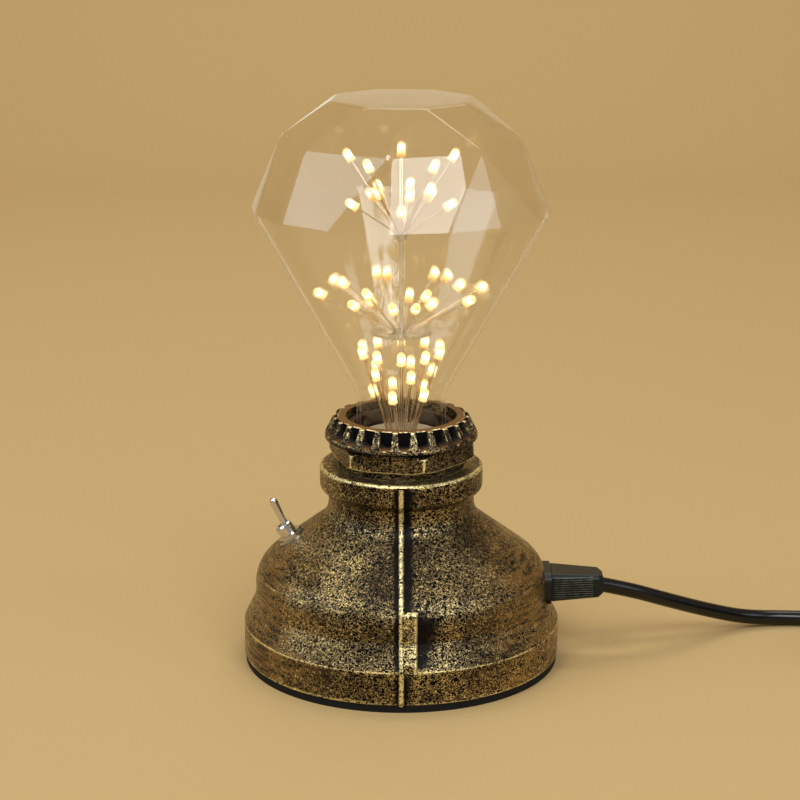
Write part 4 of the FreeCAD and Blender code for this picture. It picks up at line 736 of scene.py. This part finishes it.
def ridge_strip(side):
    """The mould's parting ridge, which follows the skin from its foot to the collar."""
    path = refined(rounded_profile(SKIN[1:10]), RIDGE_STEP)
    path = [p for p in path if p[1] < RIDGE_TOP]
    section = [(-across, proud) for across, proud in RIDGE_FLANK] + RIDGE_FLANK[::-1]
    vertices = []
    for index, point in enumerate(path):
        ahead = path[min(index + 1, len(path) - 1)] - path[max(index - 1, 0)]
        out = np.array((ahead[1], -ahead[0])) / max(np.linalg.norm(ahead), 1e-9)
        for across, proud in section:
            place = point + out * proud * RIDGE_HEIGHT
            vertices.append((across, side * place[0], place[1]))
    made = add_mesh("ridge", vertices, grid_faces(len(path), len(section), closed=False))
    set_outward(made)
    return made


PAD_START = 0.4
PAD_WIDTH = 4.9
PAD_LOW = 13.8
PAD_HEIGHT = 18.1
PAD_ROWS = 25
PAD_COLUMNS = 13
PAD_UNDER_RIDGE = 1.5
PAD_EDGE = 0.7
PAD_DROP = 1.7
PAD_FACE = 49.15
PAD_FLARE_TOP = 21.8
PAD_FLARE = 0.446
PAD_FACE_MOST = 52.2


def cast_pad(side):
    """The raised pad beside the parting ridge, which flares with the foot below it."""
    vertices = []
    for up in np.linspace(0, PAD_HEIGHT, PAD_ROWS):
        for across in np.linspace(0, PAD_WIDTH, PAD_COLUMNS):
            z = PAD_LOW + up
            inside = min(across + PAD_UNDER_RIDGE, PAD_WIDTH - across, PAD_HEIGHT - up)
            depth = PAD_DROP * (1 - min(1.0, inside / PAD_EDGE)) ** 2
            proud = min(PAD_FACE + max(0.0, PAD_FLARE_TOP - z) * PAD_FLARE, PAD_FACE_MOST)
            vertices.append((-side * (PAD_START + across), side * (proud - depth), z))
    made = add_mesh("pad", vertices, grid_faces(PAD_ROWS, PAD_COLUMNS, closed=False))
    set_outward(made)
    if made.data.polygons[len(made.data.polygons) // 2].normal.y * side < 0:
        made.data.flip_normals()
    return made


# Height, width and strength of the gold lines round the casting's bends, part wear and part painted
# highlight
WEAR_AND_HIGHLIGHT_LINES = ((13.1, 0.5, 0.5), (18.6, 0.7, 0.4), (30.8, 1.1, 0.42))
WEAR_SHARE = 0.75
SHADOW_LEFT = 2.5
SHADOW_RIGHT = 3.8
SHADOW_AT_PAD = 12.0
PAD_SPAN = (14.0, 32.0)
SHADOW_TOP = 66.0
SHADOW_DARKNESS = 1.2
SHADOW_FADE = 0.6
RIDGE_WEAR = 0.52
PAD_WEAR = 0.5


def wear_lines_and_shadow(places, wear_and_painted_light):
    """Wear of the base: gold lines round it that are part wear and part painted highlight, and
    painted shadow on the flanks beside the ridges and pads.
    """
    x, y, z = places.T
    wear_and_painted_light = np.where(wear_and_painted_light > 0, WEAR_SHARE * wear_and_painted_light, wear_and_painted_light)
    for height, width, most in WEAR_AND_HIGHLIGHT_LINES:
        wear_and_painted_light = np.maximum(wear_and_painted_light, most * np.exp(-(((z - height) / width) ** 2)))
    # Painted shadow: the flanks beside the ridges are darkened, more widely on their right and
    # beside the pad.
    across = -x * np.sign(y)
    shadow_width = np.where(across < 0, SHADOW_LEFT, SHADOW_RIGHT)
    on_pad = (z > PAD_SPAN[0]) & (z < PAD_SPAN[1]) & (across > 0)
    shadow_width = np.where(on_pad, SHADOW_AT_PAD, shadow_width)
    painted_shadow = np.clip(1 - np.abs(across) / shadow_width, 0, 1) ** SHADOW_FADE
    return np.where(z < SHADOW_TOP, wear_and_painted_light - SHADOW_DARKNESS * painted_shadow, wear_and_painted_light)


def worn_at_least(made, least):
    """Marks how worn a raised strip is, with no place less worn than the least."""
    mark_wear(made, 0.2, 1.2, lambda places, wear_and_painted_light: np.maximum(wear_and_painted_light, least))
    return made


SKIN_STEP = 1.3
SKIN_SEGMENTS = 320


def cast_base():
    """The casting with its openings, and the ridge and pad on its front and back."""
    base = lathe("base_look", refined(rounded_profile(SKIN), SKIN_STEP), SKIN_SEGMENTS)
    set_outward(base)
    mark_wear(base, 0.12, 0.8, wear_lines_and_shadow)
    cut_away(
        base,
        [
            inlet_slab("recess", low_x=47.4, half_width=8.8, half_height=5.5, corner=3.0),
            inlet_slab("window", low_x=36.2, half_width=7.8, half_height=4.9, corner=1.0),
            switch_round("flat", radius=5.4, depth=0.25),
            switch_round("hole", radius=3.05, depth=9.0),
        ],
    )
    for side in (-1, 1):
        ridge = worn_at_least(ridge_strip(side), RIDGE_WEAR)
        pad = worn_at_least(cast_pad(side), PAD_WEAR)
        join(base, [ridge, pad])
    stand_for(base, "base_casting", "cast_antique")


# Surfaces that rays from the axis find

RAY_REACH = 40.0
RAY_HALVINGS = 40
NORMAL_SHIFT = 0.02


def soft_max(values, softness):
    """The largest of several distances, blended where two are close."""
    stacked = np.stack(values)
    top = stacked.max(0)
    return top + softness * np.log(np.exp((stacked - top) / softness).sum(0))


def ray_surface(distance, rows, segments, turn=0.0):
    """Grid points where rays from the axis meet a surface.

    Each row is a start height and an elevation in radians.
    """
    angles = np.linspace(0, 2 * math.pi, segments, endpoint=False) + turn
    heights = np.array([row[0] for row in rows])[:, None]
    lifts = np.array([row[1] for row in rows])[:, None]
    way = np.stack(
        (
            np.cos(lifts) * np.cos(angles),
            np.cos(lifts) * np.sin(angles),
            np.sin(lifts) + 0 * angles,
        ),
        -1,
    )
    start = np.zeros_like(way)
    start[..., 2] = heights
    low = np.zeros(way.shape[:2])
    high = np.full(way.shape[:2], RAY_REACH)
    for _ in range(RAY_HALVINGS):
        middle = (low + high) / 2
        outside = distance(start + way * middle[..., None]) > 0
        high = np.where(outside, middle, high)
        low = np.where(outside, low, middle)
    return (start + way * high[..., None]).reshape(-1, 3)


def surface_normals(distance, points):
    normals = np.zeros_like(points)
    for axis in range(3):
        shift = np.zeros(3)
        shift[axis] = NORMAL_SHIFT
        normals[:, axis] = distance(points + shift) - distance(points - shift)
    return normals / np.maximum(np.linalg.norm(normals, axis=1), 1e-12)[:, None]


# Bulb

FACETS = 8
FACET_TURN = -140.0
NECK_RADIUS = 14.5
NECK_TOP = 87.6
FLARE_RADIUS = 17.5
FLARE_TOP = 96.2
# Radius and height of the rings that the facets' corners lie on
GIRDLE = (48.4, 151.6)
BREAK = (38.8, 174.5)
TABLE = (23.6, 186.8)
GLASS_BOTTOM = 75.0
GLASS_WALL = 1.1
GLASS_COLUMNS = 128
CONE_SLOPE = (GIRDLE[0] - FLARE_RADIUS) / (GIRDLE[1] - FLARE_TOP)
FLARE_BOW = 0.28
NECK_STEPS = 8
FLARE_STEPS = 16
UNDER_GIRDLE = 3.2
TABLE_WALL_SHARE = 0.6
BREAK_WALL_SHARE = 0.7
SAME_PLACE = 0.01
EDGE_OUTSIDE = 0.9
EDGE_INSIDE = 1.3


def corner_ring(radius, height, count, first=FACET_TURN):
    """Points at even turns round the axis, from the first one's turn in degrees."""
    angles = np.radians(first + np.arange(count) * 360.0 / count)
    return np.stack(
        (radius * np.cos(angles), radius * np.sin(angles), np.full(count, height)), 1
    )


def neck_profile(inset):
    """Radius and height from the glass's lower end up to the end of its flare."""
    neck = NECK_RADIUS - inset
    flare = FLARE_RADIUS - inset * math.hypot(1, CONE_SLOPE)
    middle = (neck + (flare - neck) * FLARE_BOW, (NECK_TOP + FLARE_TOP) / 2)
    # The circle through the flare's two ends and its middle.
    chords = np.array(
        ((middle[0] - neck, middle[1] - NECK_TOP), (flare - neck, FLARE_TOP - NECK_TOP))
    )
    squares = np.array((middle[0] ** 2 + middle[1] ** 2, flare**2 + FLARE_TOP**2))
    centre = np.linalg.solve(2 * chords, squares - (neck**2 + NECK_TOP**2))
    reach = math.hypot(neck - centre[0], NECK_TOP - centre[1])
    side = 1.0 if neck > centre[0] else -1.0
    straight = [(neck, height) for height in np.linspace(GLASS_BOTTOM, NECK_TOP, NECK_STEPS)]
    bend = [
        (centre[0] + side * math.sqrt(max(reach**2 - (height - centre[1]) ** 2, 0.0)), height)
        for height in np.linspace(NECK_TOP, FLARE_TOP, FLARE_STEPS)[1:]
    ]
    return straight + bend


def smooth_by_area(made):
    """Smooth normals that keep large facets flat and round the strips between them."""
    mesh = made.data
    normals = np.zeros((len(mesh.vertices), 3))
    for polygon in mesh.polygons:
        weight = np.array(polygon.normal) * polygon.area
        for vertex in polygon.vertices:
            normals[vertex] += weight
    normals /= np.maximum(np.linalg.norm(normals, axis=1), 1e-15)[:, None]
    mesh.polygons.foreach_set("use_smooth", [True] * len(mesh.polygons))
    mesh.normals_split_custom_set_from_vertices([tuple(n) for n in normals])


def glass_corners(inset, flare_end):
    """The corners of the facets, and rings of the cone below them."""
    side = inset * math.hypot(1, CONE_SLOPE)
    below = GIRDLE[1] - UNDER_GIRDLE
    table = TABLE[0] - TABLE_WALL_SHARE * inset
    breaks = BREAK[1] - BREAK_WALL_SHARE * inset
    return np.vstack(
        (
            corner_ring(table, TABLE[1] - inset, FACETS, FACET_TURN + 180 / FACETS),
            corner_ring(BREAK[0] - inset, breaks, FACETS),
            corner_ring(GIRDLE[0] - inset, GIRDLE[1], 2 * FACETS),
            corner_ring(GIRDLE[0] - side - UNDER_GIRDLE * CONE_SLOPE, below, GLASS_COLUMNS),
            corner_ring(*flare_end, GLASS_COLUMNS),
        )
    )


def add_facets(whole, corners, rounding):
    """The hull of the corners, open at the flare, with the crown's edges rounded."""
    points = [whole.verts.new(tuple(corner)) for corner in corners]
    bmesh.ops.convex_hull(whole, input=points)
    flare_end = FLARE_TOP + SAME_PLACE
    low = [face for face in whole.faces if all(v.co.z < flare_end for v in face.verts)]
    bmesh.ops.delete(whole, geom=low, context="FACES")
    bmesh.ops.dissolve_limit(
        whole, angle_limit=math.radians(0.4), verts=whole.verts[:], edges=whole.edges[:]
    )
    girdle = GIRDLE[1] - SAME_PLACE
    crown = [edge for edge in whole.edges if all(v.co.z > girdle for v in edge.verts)]
    bmesh.ops.bevel(
        whole,
        geom=crown,
        offset=rounding,
        offset_type="OFFSET",
        segments=4,
        profile=0.5,
        affect="EDGES",
        clamp_overlap=False,
    )


def add_neck(whole, profile):
    """The round neck and its flare, row by row."""
    rows = [
        [whole.verts.new(tuple(corner)) for corner in corner_ring(radius, height, GLASS_COLUMNS)]
        for radius, height in profile
    ]
    for lower, upper in zip(rows, rows[1:]):
        for column in range(GLASS_COLUMNS):
            after = (column + 1) % GLASS_COLUMNS
            whole.faces.new((lower[column], lower[after], upper[after], upper[column]))


def glass_skin(name, inset, rounding):
    """One side of the glass: its facets and its neck, merged where they meet."""
    profile = neck_profile(inset)
    whole = bmesh.new()
    add_facets(whole, glass_corners(inset, profile[-1]), rounding)
    add_neck(whole, profile)
    bmesh.ops.remove_doubles(whole, verts=whole.verts[:], dist=SAME_PLACE)
    bmesh.ops.recalc_face_normals(whole, faces=whole.faces[:])
    bmesh.ops.scale(whole, vec=(MM, MM, MM), verts=whole.verts[:])
    mesh = bpy.data.meshes.new(name)
    whole.to_mesh(mesh)
    whole.free()
    made = bpy.data.objects.new(name, mesh)
    bpy.context.scene.collection.objects.link(made)
    top = max(mesh.polygons, key=lambda polygon: polygon.center.z)
    if (top.normal.z > 0) == (inset > 0):
        mesh.flip_normals()
    smooth_by_area(made)
    return made


def bulb_glass():
    """The glass has an outer and an inner skin, a wall's thickness apart."""
    outside = glass_skin("bulb_outside", 0.0, EDGE_OUTSIDE)
    inside = glass_skin("bulb_inside", GLASS_WALL, EDGE_INSIDE)
    stand_for(outside, "bulb_glass", "clear_glass", "bulb")
    coat(inside.data, "clear_glass")
    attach(inside, "bulb")


# Light beads on twin leads, in three tiers

BOARD_TOP = 77.0
DISC_TOP = 111.4
STEM_TOP = 143.4
# Each ring has its feet's radius, the share of the room inside the glass and of the
# tier's height that its beads reach, their number and the first one's turn in degrees.
TIERS = {
    "lower": (
        BOARD_TOP,
        DISC_TOP - 1.0,
        [(4.6, 0.621, 0.844, 10, -90), (4.0, 0.584, 0.641, 5, -72), (4.0, 0.678, 0.431, 5, -108)],
    ),
    "middle": (
        DISC_TOP,
        STEM_TOP,
        [(3.6, 0.826, 0.419, 8, -80), (2.6, 0.569, 0.487, 6, -65), (1.8, 0.349, 0.3, 4, -105)],
    ),
    "upper": (
        STEM_TOP,
        TABLE[1],
        [(1.5, 0.441, 0.562, 5, -54), (1.5, 0.359, 0.24, 5, -90), (1.2, 0.206, 0.332, 5, -72)],
    ),
}
FOOT_LIFT = 0.1
BEAD_LENGTH = 4.4
BEAD_RADIUS = 1.3
BEAD_COLLAR = 1.55
BEAD_COLLAR_HEIGHT = 0.5
BEAD_COLUMNS = 20
BARREL_START = 0.52
GLOW_RINGS = (1.4, 2.3)
GLOW_CENTRE = 0.55
GLOW_WIDTH = 0.3
LEAD_RADIUS = 0.17
LEAD_SPREAD = 0.34
LEAD_INTO_BEAD = 0.2
LEAD_COLUMNS = 8


def glass_room(height):
    """The radius inside the glass at a height over its flare."""
    slope = CONE_SLOPE
    if height > GIRDLE[1]:
        slope = (BREAK[0] - GIRDLE[0]) / (BREAK[1] - GIRDLE[1])
    return GIRDLE[0] + (height - GIRDLE[1]) * slope - GLASS_WALL * math.hypot(1, slope)


def light_bead():
    """One bead on the Z axis, with how much each of its places glows."""
    dome = [
        (BEAD_RADIUS * math.cos(angle), BEAD_LENGTH - BEAD_RADIUS * (1 - math.sin(angle)))
        for angle in np.linspace(0, 1.5, 7)
    ]
    collar = [(0.05, 0.0), (BEAD_COLLAR, 0.02), (BEAD_COLLAR, BEAD_COLLAR_HEIGHT)]
    barrel = [(BEAD_RADIUS, along) for along in (BARREL_START, *GLOW_RINGS)]
    profile = [*collar, *barrel, *dome]
    bead = lathe("bead", profile, BEAD_COLUMNS, closed=False)
    glow = []
    for _, along in profile:
        share = (along / BEAD_LENGTH - GLOW_CENTRE) / GLOW_WIDTH
        glow += [math.exp(-(share**2))] * BEAD_COLUMNS
    store(bead.data, "glow", glow)
    return bead


def twin_leads(length):
    """A bead's two leads, side by side along the Z axis."""
    run = [(LEAD_RADIUS, 0.0), (LEAD_RADIUS, length)]
    pair = []
    for hand in (-1, 1):
        lead = lathe("lead", run, LEAD_COLUMNS, closed=False)
        lead.data.transform(Matrix.Translation((0.0, hand * LEAD_SPREAD * MM, 0.0)))
        pair.append(lead)
    join(pair[0], pair[1:])
    return pair[0]


SPRAY_SIZES = {
    "Shape": "NodeSocketObject",
    "Finish": "NodeSocketMaterial",
    "Count": "NodeSocketInt",
    "First Turn": "NodeSocketFloat",
    "Foot Radius": "NodeSocketFloat",
    "Foot Height": "NodeSocketFloat",
    "Tilt": "NodeSocketFloat",
}


def make_spray():
    """Geometry nodes that add a ring of one shape, each copy tilted away from the axis."""
    tree = bpy.data.node_groups.new("spray", "GeometryNodeTree")
    tree.interface.new_socket("Geometry", in_out="OUTPUT", socket_type="NodeSocketGeometry")
    tree.interface.new_socket("Geometry", in_out="INPUT", socket_type="NodeSocketGeometry")
    for name, kind in SPRAY_SIZES.items():
        tree.interface.new_socket(name, in_out="INPUT", socket_type=kind)
    spray = Nodes(tree)
    sizes = spray.node("NodeGroupInput").outputs
    index = spray.node("GeometryNodeInputIndex").outputs["Index"]
    step = spray.math("DIVIDE", 2 * math.pi, sizes["Count"])
    turn = spray.math("MULTIPLY_ADD", index, step, sizes["First Turn"])
    x = spray.math("MULTIPLY", spray.math("COSINE", turn), sizes["Foot Radius"])
    y = spray.math("MULTIPLY", spray.math("SINE", turn), sizes["Foot Radius"])
    feet = spray.node("GeometryNodePoints")
    spray.link(sizes["Count"], feet.inputs["Count"])
    spray.link(spray.vector(x, y, sizes["Foot Height"]), feet.inputs["Position"])
    shape = spray.node("GeometryNodeObjectInfo")
    spray.link(sizes["Shape"], shape.inputs["Object"])
    copies = spray.node("GeometryNodeInstanceOnPoints")
    spray.link(feet.outputs["Points"], copies.inputs["Points"])
    spray.link(shape.outputs["Geometry"], copies.inputs["Instance"])
    spray.link(spray.vector(0.0, sizes["Tilt"], turn), copies.inputs["Rotation"])
    both = spray.node("GeometryNodeJoinGeometry")
    spray.link(sizes["Geometry"], both.inputs["Geometry"])
    spray.link(copies.outputs["Instances"], both.inputs["Geometry"])
    real = spray.node("GeometryNodeRealizeInstances")
    spray.link(both.outputs["Geometry"], real.inputs["Geometry"])
    finished = spray.node("GeometryNodeSetMaterial")
    spray.link(real.outputs["Geometry"], finished.inputs["Geometry"])
    spray.link(sizes["Finish"], finished.inputs["Material"])
    spray.link(finished.outputs["Geometry"], spray.node("NodeGroupOutput").inputs["Geometry"])
    return tree


SPRAY = make_spray()


def add_ring(made, shape, slot, count, first, foot, tilt):
    """Adds a ring of a shape, whose foot is a radius and a height."""
    sizes = {
        "Shape": shape,
        "Finish": FINISHES[slot],
        "Count": count,
        "First Turn": math.radians(first),
        "Foot Radius": float(foot[0]) * MM,
        "Foot Height": float(foot[1]) * MM,
        "Tilt": tilt,
    }
    modifier = made.modifiers.new("ring", "NODES")
    modifier.node_group = SPRAY
    for socket in SPRAY.interface.items_tree:
        if socket.name in sizes:
            modifier[socket.identifier] = sizes[socket.name]


def light_tier(tier, low, high, rings):
    """The beads and leads of one tier, ring by ring."""
    beads = add_mesh(f"{tier}_beads", np.zeros((0, 3)), [])
    leads = add_mesh(f"{tier}_leads", np.zeros((0, 3)), [])
    bead = light_bead()
    shapes = [bead]
    for start_radius, room_share, rise_share, count, first in rings:
        rise = rise_share * (high - low)
        start = np.array((start_radius, low + FOOT_LIFT))
        way = np.array((room_share * glass_room(low + rise), low + rise)) - start
        reach = np.linalg.norm(way)
        way /= reach
        tilt = math.atan2(way[0], way[1])
        bead_foot = start + way * (reach - BEAD_LENGTH / 2)
        pair = twin_leads(reach - BEAD_LENGTH / 2 + LEAD_INTO_BEAD)
        shapes.append(pair)
        add_ring(beads, bead, "led_warm", count, first, bead_foot, tilt)
        add_ring(leads, pair, "led_copper", count, first, start, tilt)
    for made, node, slot in ((beads, "led_beads", "led_warm"), (leads, "led_leads", "led_copper")):
        settle(made)
        set_outward(made)
        stand_for(made, f"{node}_{tier}", slot, "bulb")
    for shape in shapes:
        bpy.data.objects.remove(shape)


# Hexagon of the bushing

HEX_FLAT = 21.2
HEX_CORNER = 23.1
HEX_LOW = 69.0
HEX_HIGH = 75.4
HEX_MIDDLE = (HEX_LOW + HEX_HIGH) / 2
HEX_HALF = (HEX_HIGH - HEX_LOW) / 2
HEX_CHAMFER = 0.3
HEX_CHAMFER_LEAN = (0.5, 0.87)
HEX_SOFTNESS = 0.2
HEX_TURN = -12.4
HEX_ROWS = 56
HEX_SEGMENTS = 480
HEX_RIM = 74.4
HEX_SHADED_RIM_SHARE = 0.2
BUSHING_BORE = 17.9
# Radius, height and rounding of the shank's corners
SHANK = [(17.7, 54.0, 0), (20.4, 54.0, 0), (20.4, 70.0, 0), (17.7, 70.0, 0)]


def hex_distance(points):
    """How far points lie outside the hexagon, with its edges softened."""
    radius = np.hypot(points[..., 0], points[..., 1])
    height = points[..., 2]
    sides = [
        points[..., 0] * math.cos(angle) + points[..., 1] * math.sin(angle) - HEX_FLAT
        for angle in np.radians(HEX_TURN + 30 + np.arange(6) * 60)
    ]
    beyond = abs(height - HEX_MIDDLE) - HEX_HALF + HEX_CHAMFER
    chamfer = (radius - HEX_CORNER) * HEX_CHAMFER_LEAN[0] + beyond * HEX_CHAMFER_LEAN[1]
    ends = [height - HEX_HIGH, HEX_LOW - height]
    return soft_max([*sides, *ends, chamfer], HEX_SOFTNESS)


def shaded_under_ring(places, wear_and_painted_light):
    """Wear of the hexagon, with its upper edge nearly dark: painted shadow of the ring above it."""
    return np.where(places[:, 2] > HEX_RIM, HEX_SHADED_RIM_SHARE, 1.0) * wear_and_painted_light


def hex_bushing():
    """The hexagon, and the round shank that goes down into the neck."""
    reach = math.atan2(HEX_HALF, BUSHING_BORE)
    rows = [(HEX_MIDDLE, lift) for lift in np.linspace(-reach, reach, HEX_ROWS)]
    points = ray_surface(hex_distance, rows, HEX_SEGMENTS)
    normals = surface_normals(hex_distance, points)
    head = add_mesh("bushing_look", points, grid_faces(HEX_ROWS, HEX_SEGMENTS), normals)
    mark_wear(head, 0.1, 0.9, shaded_under_ring)
    shank = lathe("bushing_shank", refined(rounded_profile(SHANK), 1.0), 160)
    set_outward(shank)
    mark_wear(shank, 0.1, 0.9)
    join(head, [shank])
    stand_for(head, "hex_bushing", "bronze_antique")


# Fluted ring

RING_LOW = 76.0
RING_HIGH = 83.1
RING_MIDDLE = (RING_LOW + RING_HIGH) / 2
RING_RADIUS = 25.1
RING_TOP_RADIUS = 22.1
RING_BAND = RING_LOW + 1.3
RING_TAPER = (RING_RADIUS - RING_TOP_RADIUS) / (RING_HIGH - RING_BAND)
RING_START = math.radians(2.5 - 90)
RING_ROWS = 60
FLUTES = 24
SEGMENTS_PER_FLUTE = 30
FLUTE_HALF = 1.95
FLUTE_END = RING_LOW + 3.8
FLUTE_FLOOR = 20.9
FLUTE_MARGIN = 0.4
RING_SOFTNESS = 0.14
FLUTE_SOFTNESS = 0.1
LOW_BORE = 21.0
HIGH_BORE = 18.2
# Radius and height of the bore's corners
BORE = [(18.05, 83.0), (18.05, 77.6), (20.4, 77.6), (20.4, 76.1)]


def ring_distance(points):
    """How far points lie outside the fluted ring, with its edges softened."""
    radius = np.hypot(points[..., 0], points[..., 1])
    height = points[..., 2]
    outside = radius - RING_RADIUS
    slant = (outside + (height - RING_BAND) * RING_TAPER) / math.hypot(1, RING_TAPER)
    body = soft_max([outside, slant, height - RING_HIGH, RING_LOW - height], RING_SOFTNESS)
    # Each flute is a slot, round at its lower end and open at the top.
    step = 2 * math.pi / FLUTES
    around = np.arctan2(points[..., 1], points[..., 0]) - RING_START
    around = (around + step / 2) % step - step / 2
    across = np.sin(around) * radius
    below = np.minimum(height - FLUTE_END, 0.0)
    slot = np.hypot(across, below) - FLUTE_HALF
    floor = radius * np.cos(around) - FLUTE_FLOOR
    return soft_max([body, np.minimum(-slot, floor)], FLUTE_SOFTNESS)


def flutes_black(places, wear_and_painted_light):
    """Wear with the flutes left black, from just under the skin to their floor."""
    radius = np.hypot(places[:, 0], places[:, 1])
    height = places[:, 2]
    skin = RING_RADIUS - (height - RING_BAND) * RING_TAPER
    deep = (skin - radius > FLUTE_MARGIN) & (radius > FLUTE_FLOOR - FLUTE_MARGIN)
    return np.where(deep & (height < RING_HIGH - 0.3), -1.0, wear_and_painted_light)


def brushed_top(mesh):
    """The top and the bore are brushed brown, and the rest only a little."""
    normals = vertex_rows(mesh, "normal")
    places = vertex_rows(mesh, "co")
    inward = -(normals[:, :2] * places[:, :2]).sum(1)
    return np.where((normals[:, 2] > 0.75) | (inward > 0.005), 1.0, 0.08)


def ring_bore():
    """The bore's wall, which faces the axis."""
    bore = lathe("ring_bore", refined(np.array(BORE), 0.8), 160, closed=False)
    mark_wear(bore, 0.2, 1.4)
    side = bore.data.polygons[0]
    if side.normal.dot(Vector((*side.center[:2], 0))) > 0:
        bore.data.flip_normals()
    return bore


def fluted_ring():
    """The collar with its flutes outside and its stepped bore inside."""
    low = math.atan2(RING_LOW - RING_MIDDLE, LOW_BORE)
    high = math.atan2(RING_HIGH - RING_MIDDLE, HIGH_BORE)
    rows = [(RING_MIDDLE, lift) for lift in np.linspace(low, high, RING_ROWS)]
    segments = FLUTES * SEGMENTS_PER_FLUTE
    points = ray_surface(ring_distance, rows, segments, RING_START)
    ring = add_mesh("ring_look", points, grid_faces(RING_ROWS, segments))
    mark_wear(ring, 0.12, 0.7, flutes_black)
    store(ring.data, "brushed", brushed_top(ring.data))
    join(ring, [ring_bore()])
    stand_for(ring, "fluted_ring", "bronze_antique")


cast_base()
bulb_glass()
for tier, (low, high, rings) in TIERS.items():
    light_tier(tier, low, high, rings)
hex_bushing()
fluted_ring()

# Floor, backdrop and light


SAND = (0.43, 0.297, 0.126)
STAGE_HALF_WIDTH = 3.0
STAGE_FRONT = -2.0
BEND_START = 0.9
BEND_RADIUS = 0.5
BACKDROP_TOP = 2.6
BEND_STEPS = 24


def floor_material():
    shader = Shader("floor_sand")
    shader.set(Base_Color=SAND, Roughness=0.85)
    return shader.material


def make_stage():
    """A floor that bends up into the backdrop, in metres."""
    run = [(STAGE_FRONT, 0.0), (BEND_START, 0.0)]
    for step in range(1, BEND_STEPS + 1):
        angle = math.pi / 2 * step / BEND_STEPS
        rise = BEND_RADIUS * (1 - math.cos(angle))
        run.append((BEND_START + BEND_RADIUS * math.sin(angle), rise))
    run.append((BEND_START + BEND_RADIUS, BACKDROP_TOP))
    sides = (-STAGE_HALF_WIDTH, STAGE_HALF_WIDTH)
    vertices = np.array([(x, y, z) for y, z in run for x in sides]) / MM
    sweep = add_mesh("floor", vertices, grid_faces(len(run), 2, closed=False))
    sweep.data.materials.append(floor_material())


def area_light(name, place, aim, width, height, power, colour):
    data = bpy.data.lights.new(name, "AREA")
    data.shape = "RECTANGLE"
    data.size = width
    data.size_y = height
    data.energy = power
    data.color = colour
    made = bpy.data.objects.new(name, data)
    made.location = place
    made.rotation_mode = "QUATERNION"
    made.rotation_quaternion = (Vector(aim) - Vector(place)).to_track_quat("-Z", "Y")
    bpy.context.scene.collection.objects.link(made)


CROWN_HEIGHT = 0.16
NEUTRAL = (1.0, 0.97, 0.92)


def softbox(name, turn, lift, distance, width, height, radiance, colour=NEUTRAL):
    """An area light of a given brightness in a direction from the bulb's crown."""
    flat = distance * math.cos(math.radians(lift))
    place = (
        flat * math.cos(math.radians(turn)),
        flat * math.sin(math.radians(turn)),
        CROWN_HEIGHT + distance * math.sin(math.radians(lift)),
    )
    power = radiance * math.pi * width * height
    area_light(name, place, (0, 0, CROWN_HEIGHT), width, height, power, colour)


make_stage()
# Turn and lift in degrees, distance, width and height in metres, and brightness
softbox("key", -128, 58, 1.5, 0.5, 0.5, 11.5)
softbox("behind", 80, 48, 1.6, 0.9, 0.5, 2.0)
softbox("left_pane", -165, 30, 1.1, 0.62, 0.5, 3.9, (0.74, 0.87, 1.0))
softbox("front_pane", -68, 37, 1.1, 0.62, 0.42, 8.0, (0.95, 0.99, 1.0))
softbox("right_pane", -27, 27, 1.1, 0.34, 0.4, 3.1, (0.85, 0.92, 1.0))
area_light("wall", (0, 0.5, 1.5), (0, 1.4, 0.25), 1.4, 0.4, 12.0, (1.0, 0.95, 0.86))


EVEN_COLOUR = (1.0, 0.93, 0.82, 1.0)
EVEN_STRENGTH = 0.3
SEEN_COLOUR = (0.66, 0.5, 0.29, 1.0)


def make_world():
    """Even light, with the backdrop's colour where glass looks past the backdrop."""
    world = bpy.data.worlds.new("world")
    bpy.context.scene.world = world
    world.use_nodes = True
    sky = Nodes(world.node_tree)
    even = world.node_tree.nodes["Background"]
    even.inputs["Color"].default_value = EVEN_COLOUR
    even.inputs["Strength"].default_value = EVEN_STRENGTH
    seen = sky.node("ShaderNodeBackground")
    seen.inputs["Color"].default_value = SEEN_COLOUR
    path = sky.node("ShaderNodeLightPath").outputs
    inside = sky.math("MULTIPLY", path["Is Glossy Ray"], path["Transmission Depth"])
    through = sky.math("ADD", path["Is Transmission Ray"], inside, clamp=True)
    chosen = sky.blend(through, even.outputs["Background"], seen.outputs["Background"])
    sky.link(chosen, world.node_tree.nodes["World Output"].inputs["Surface"])


make_world()
bpy.context.scene.view_settings.view_transform = "Standard"
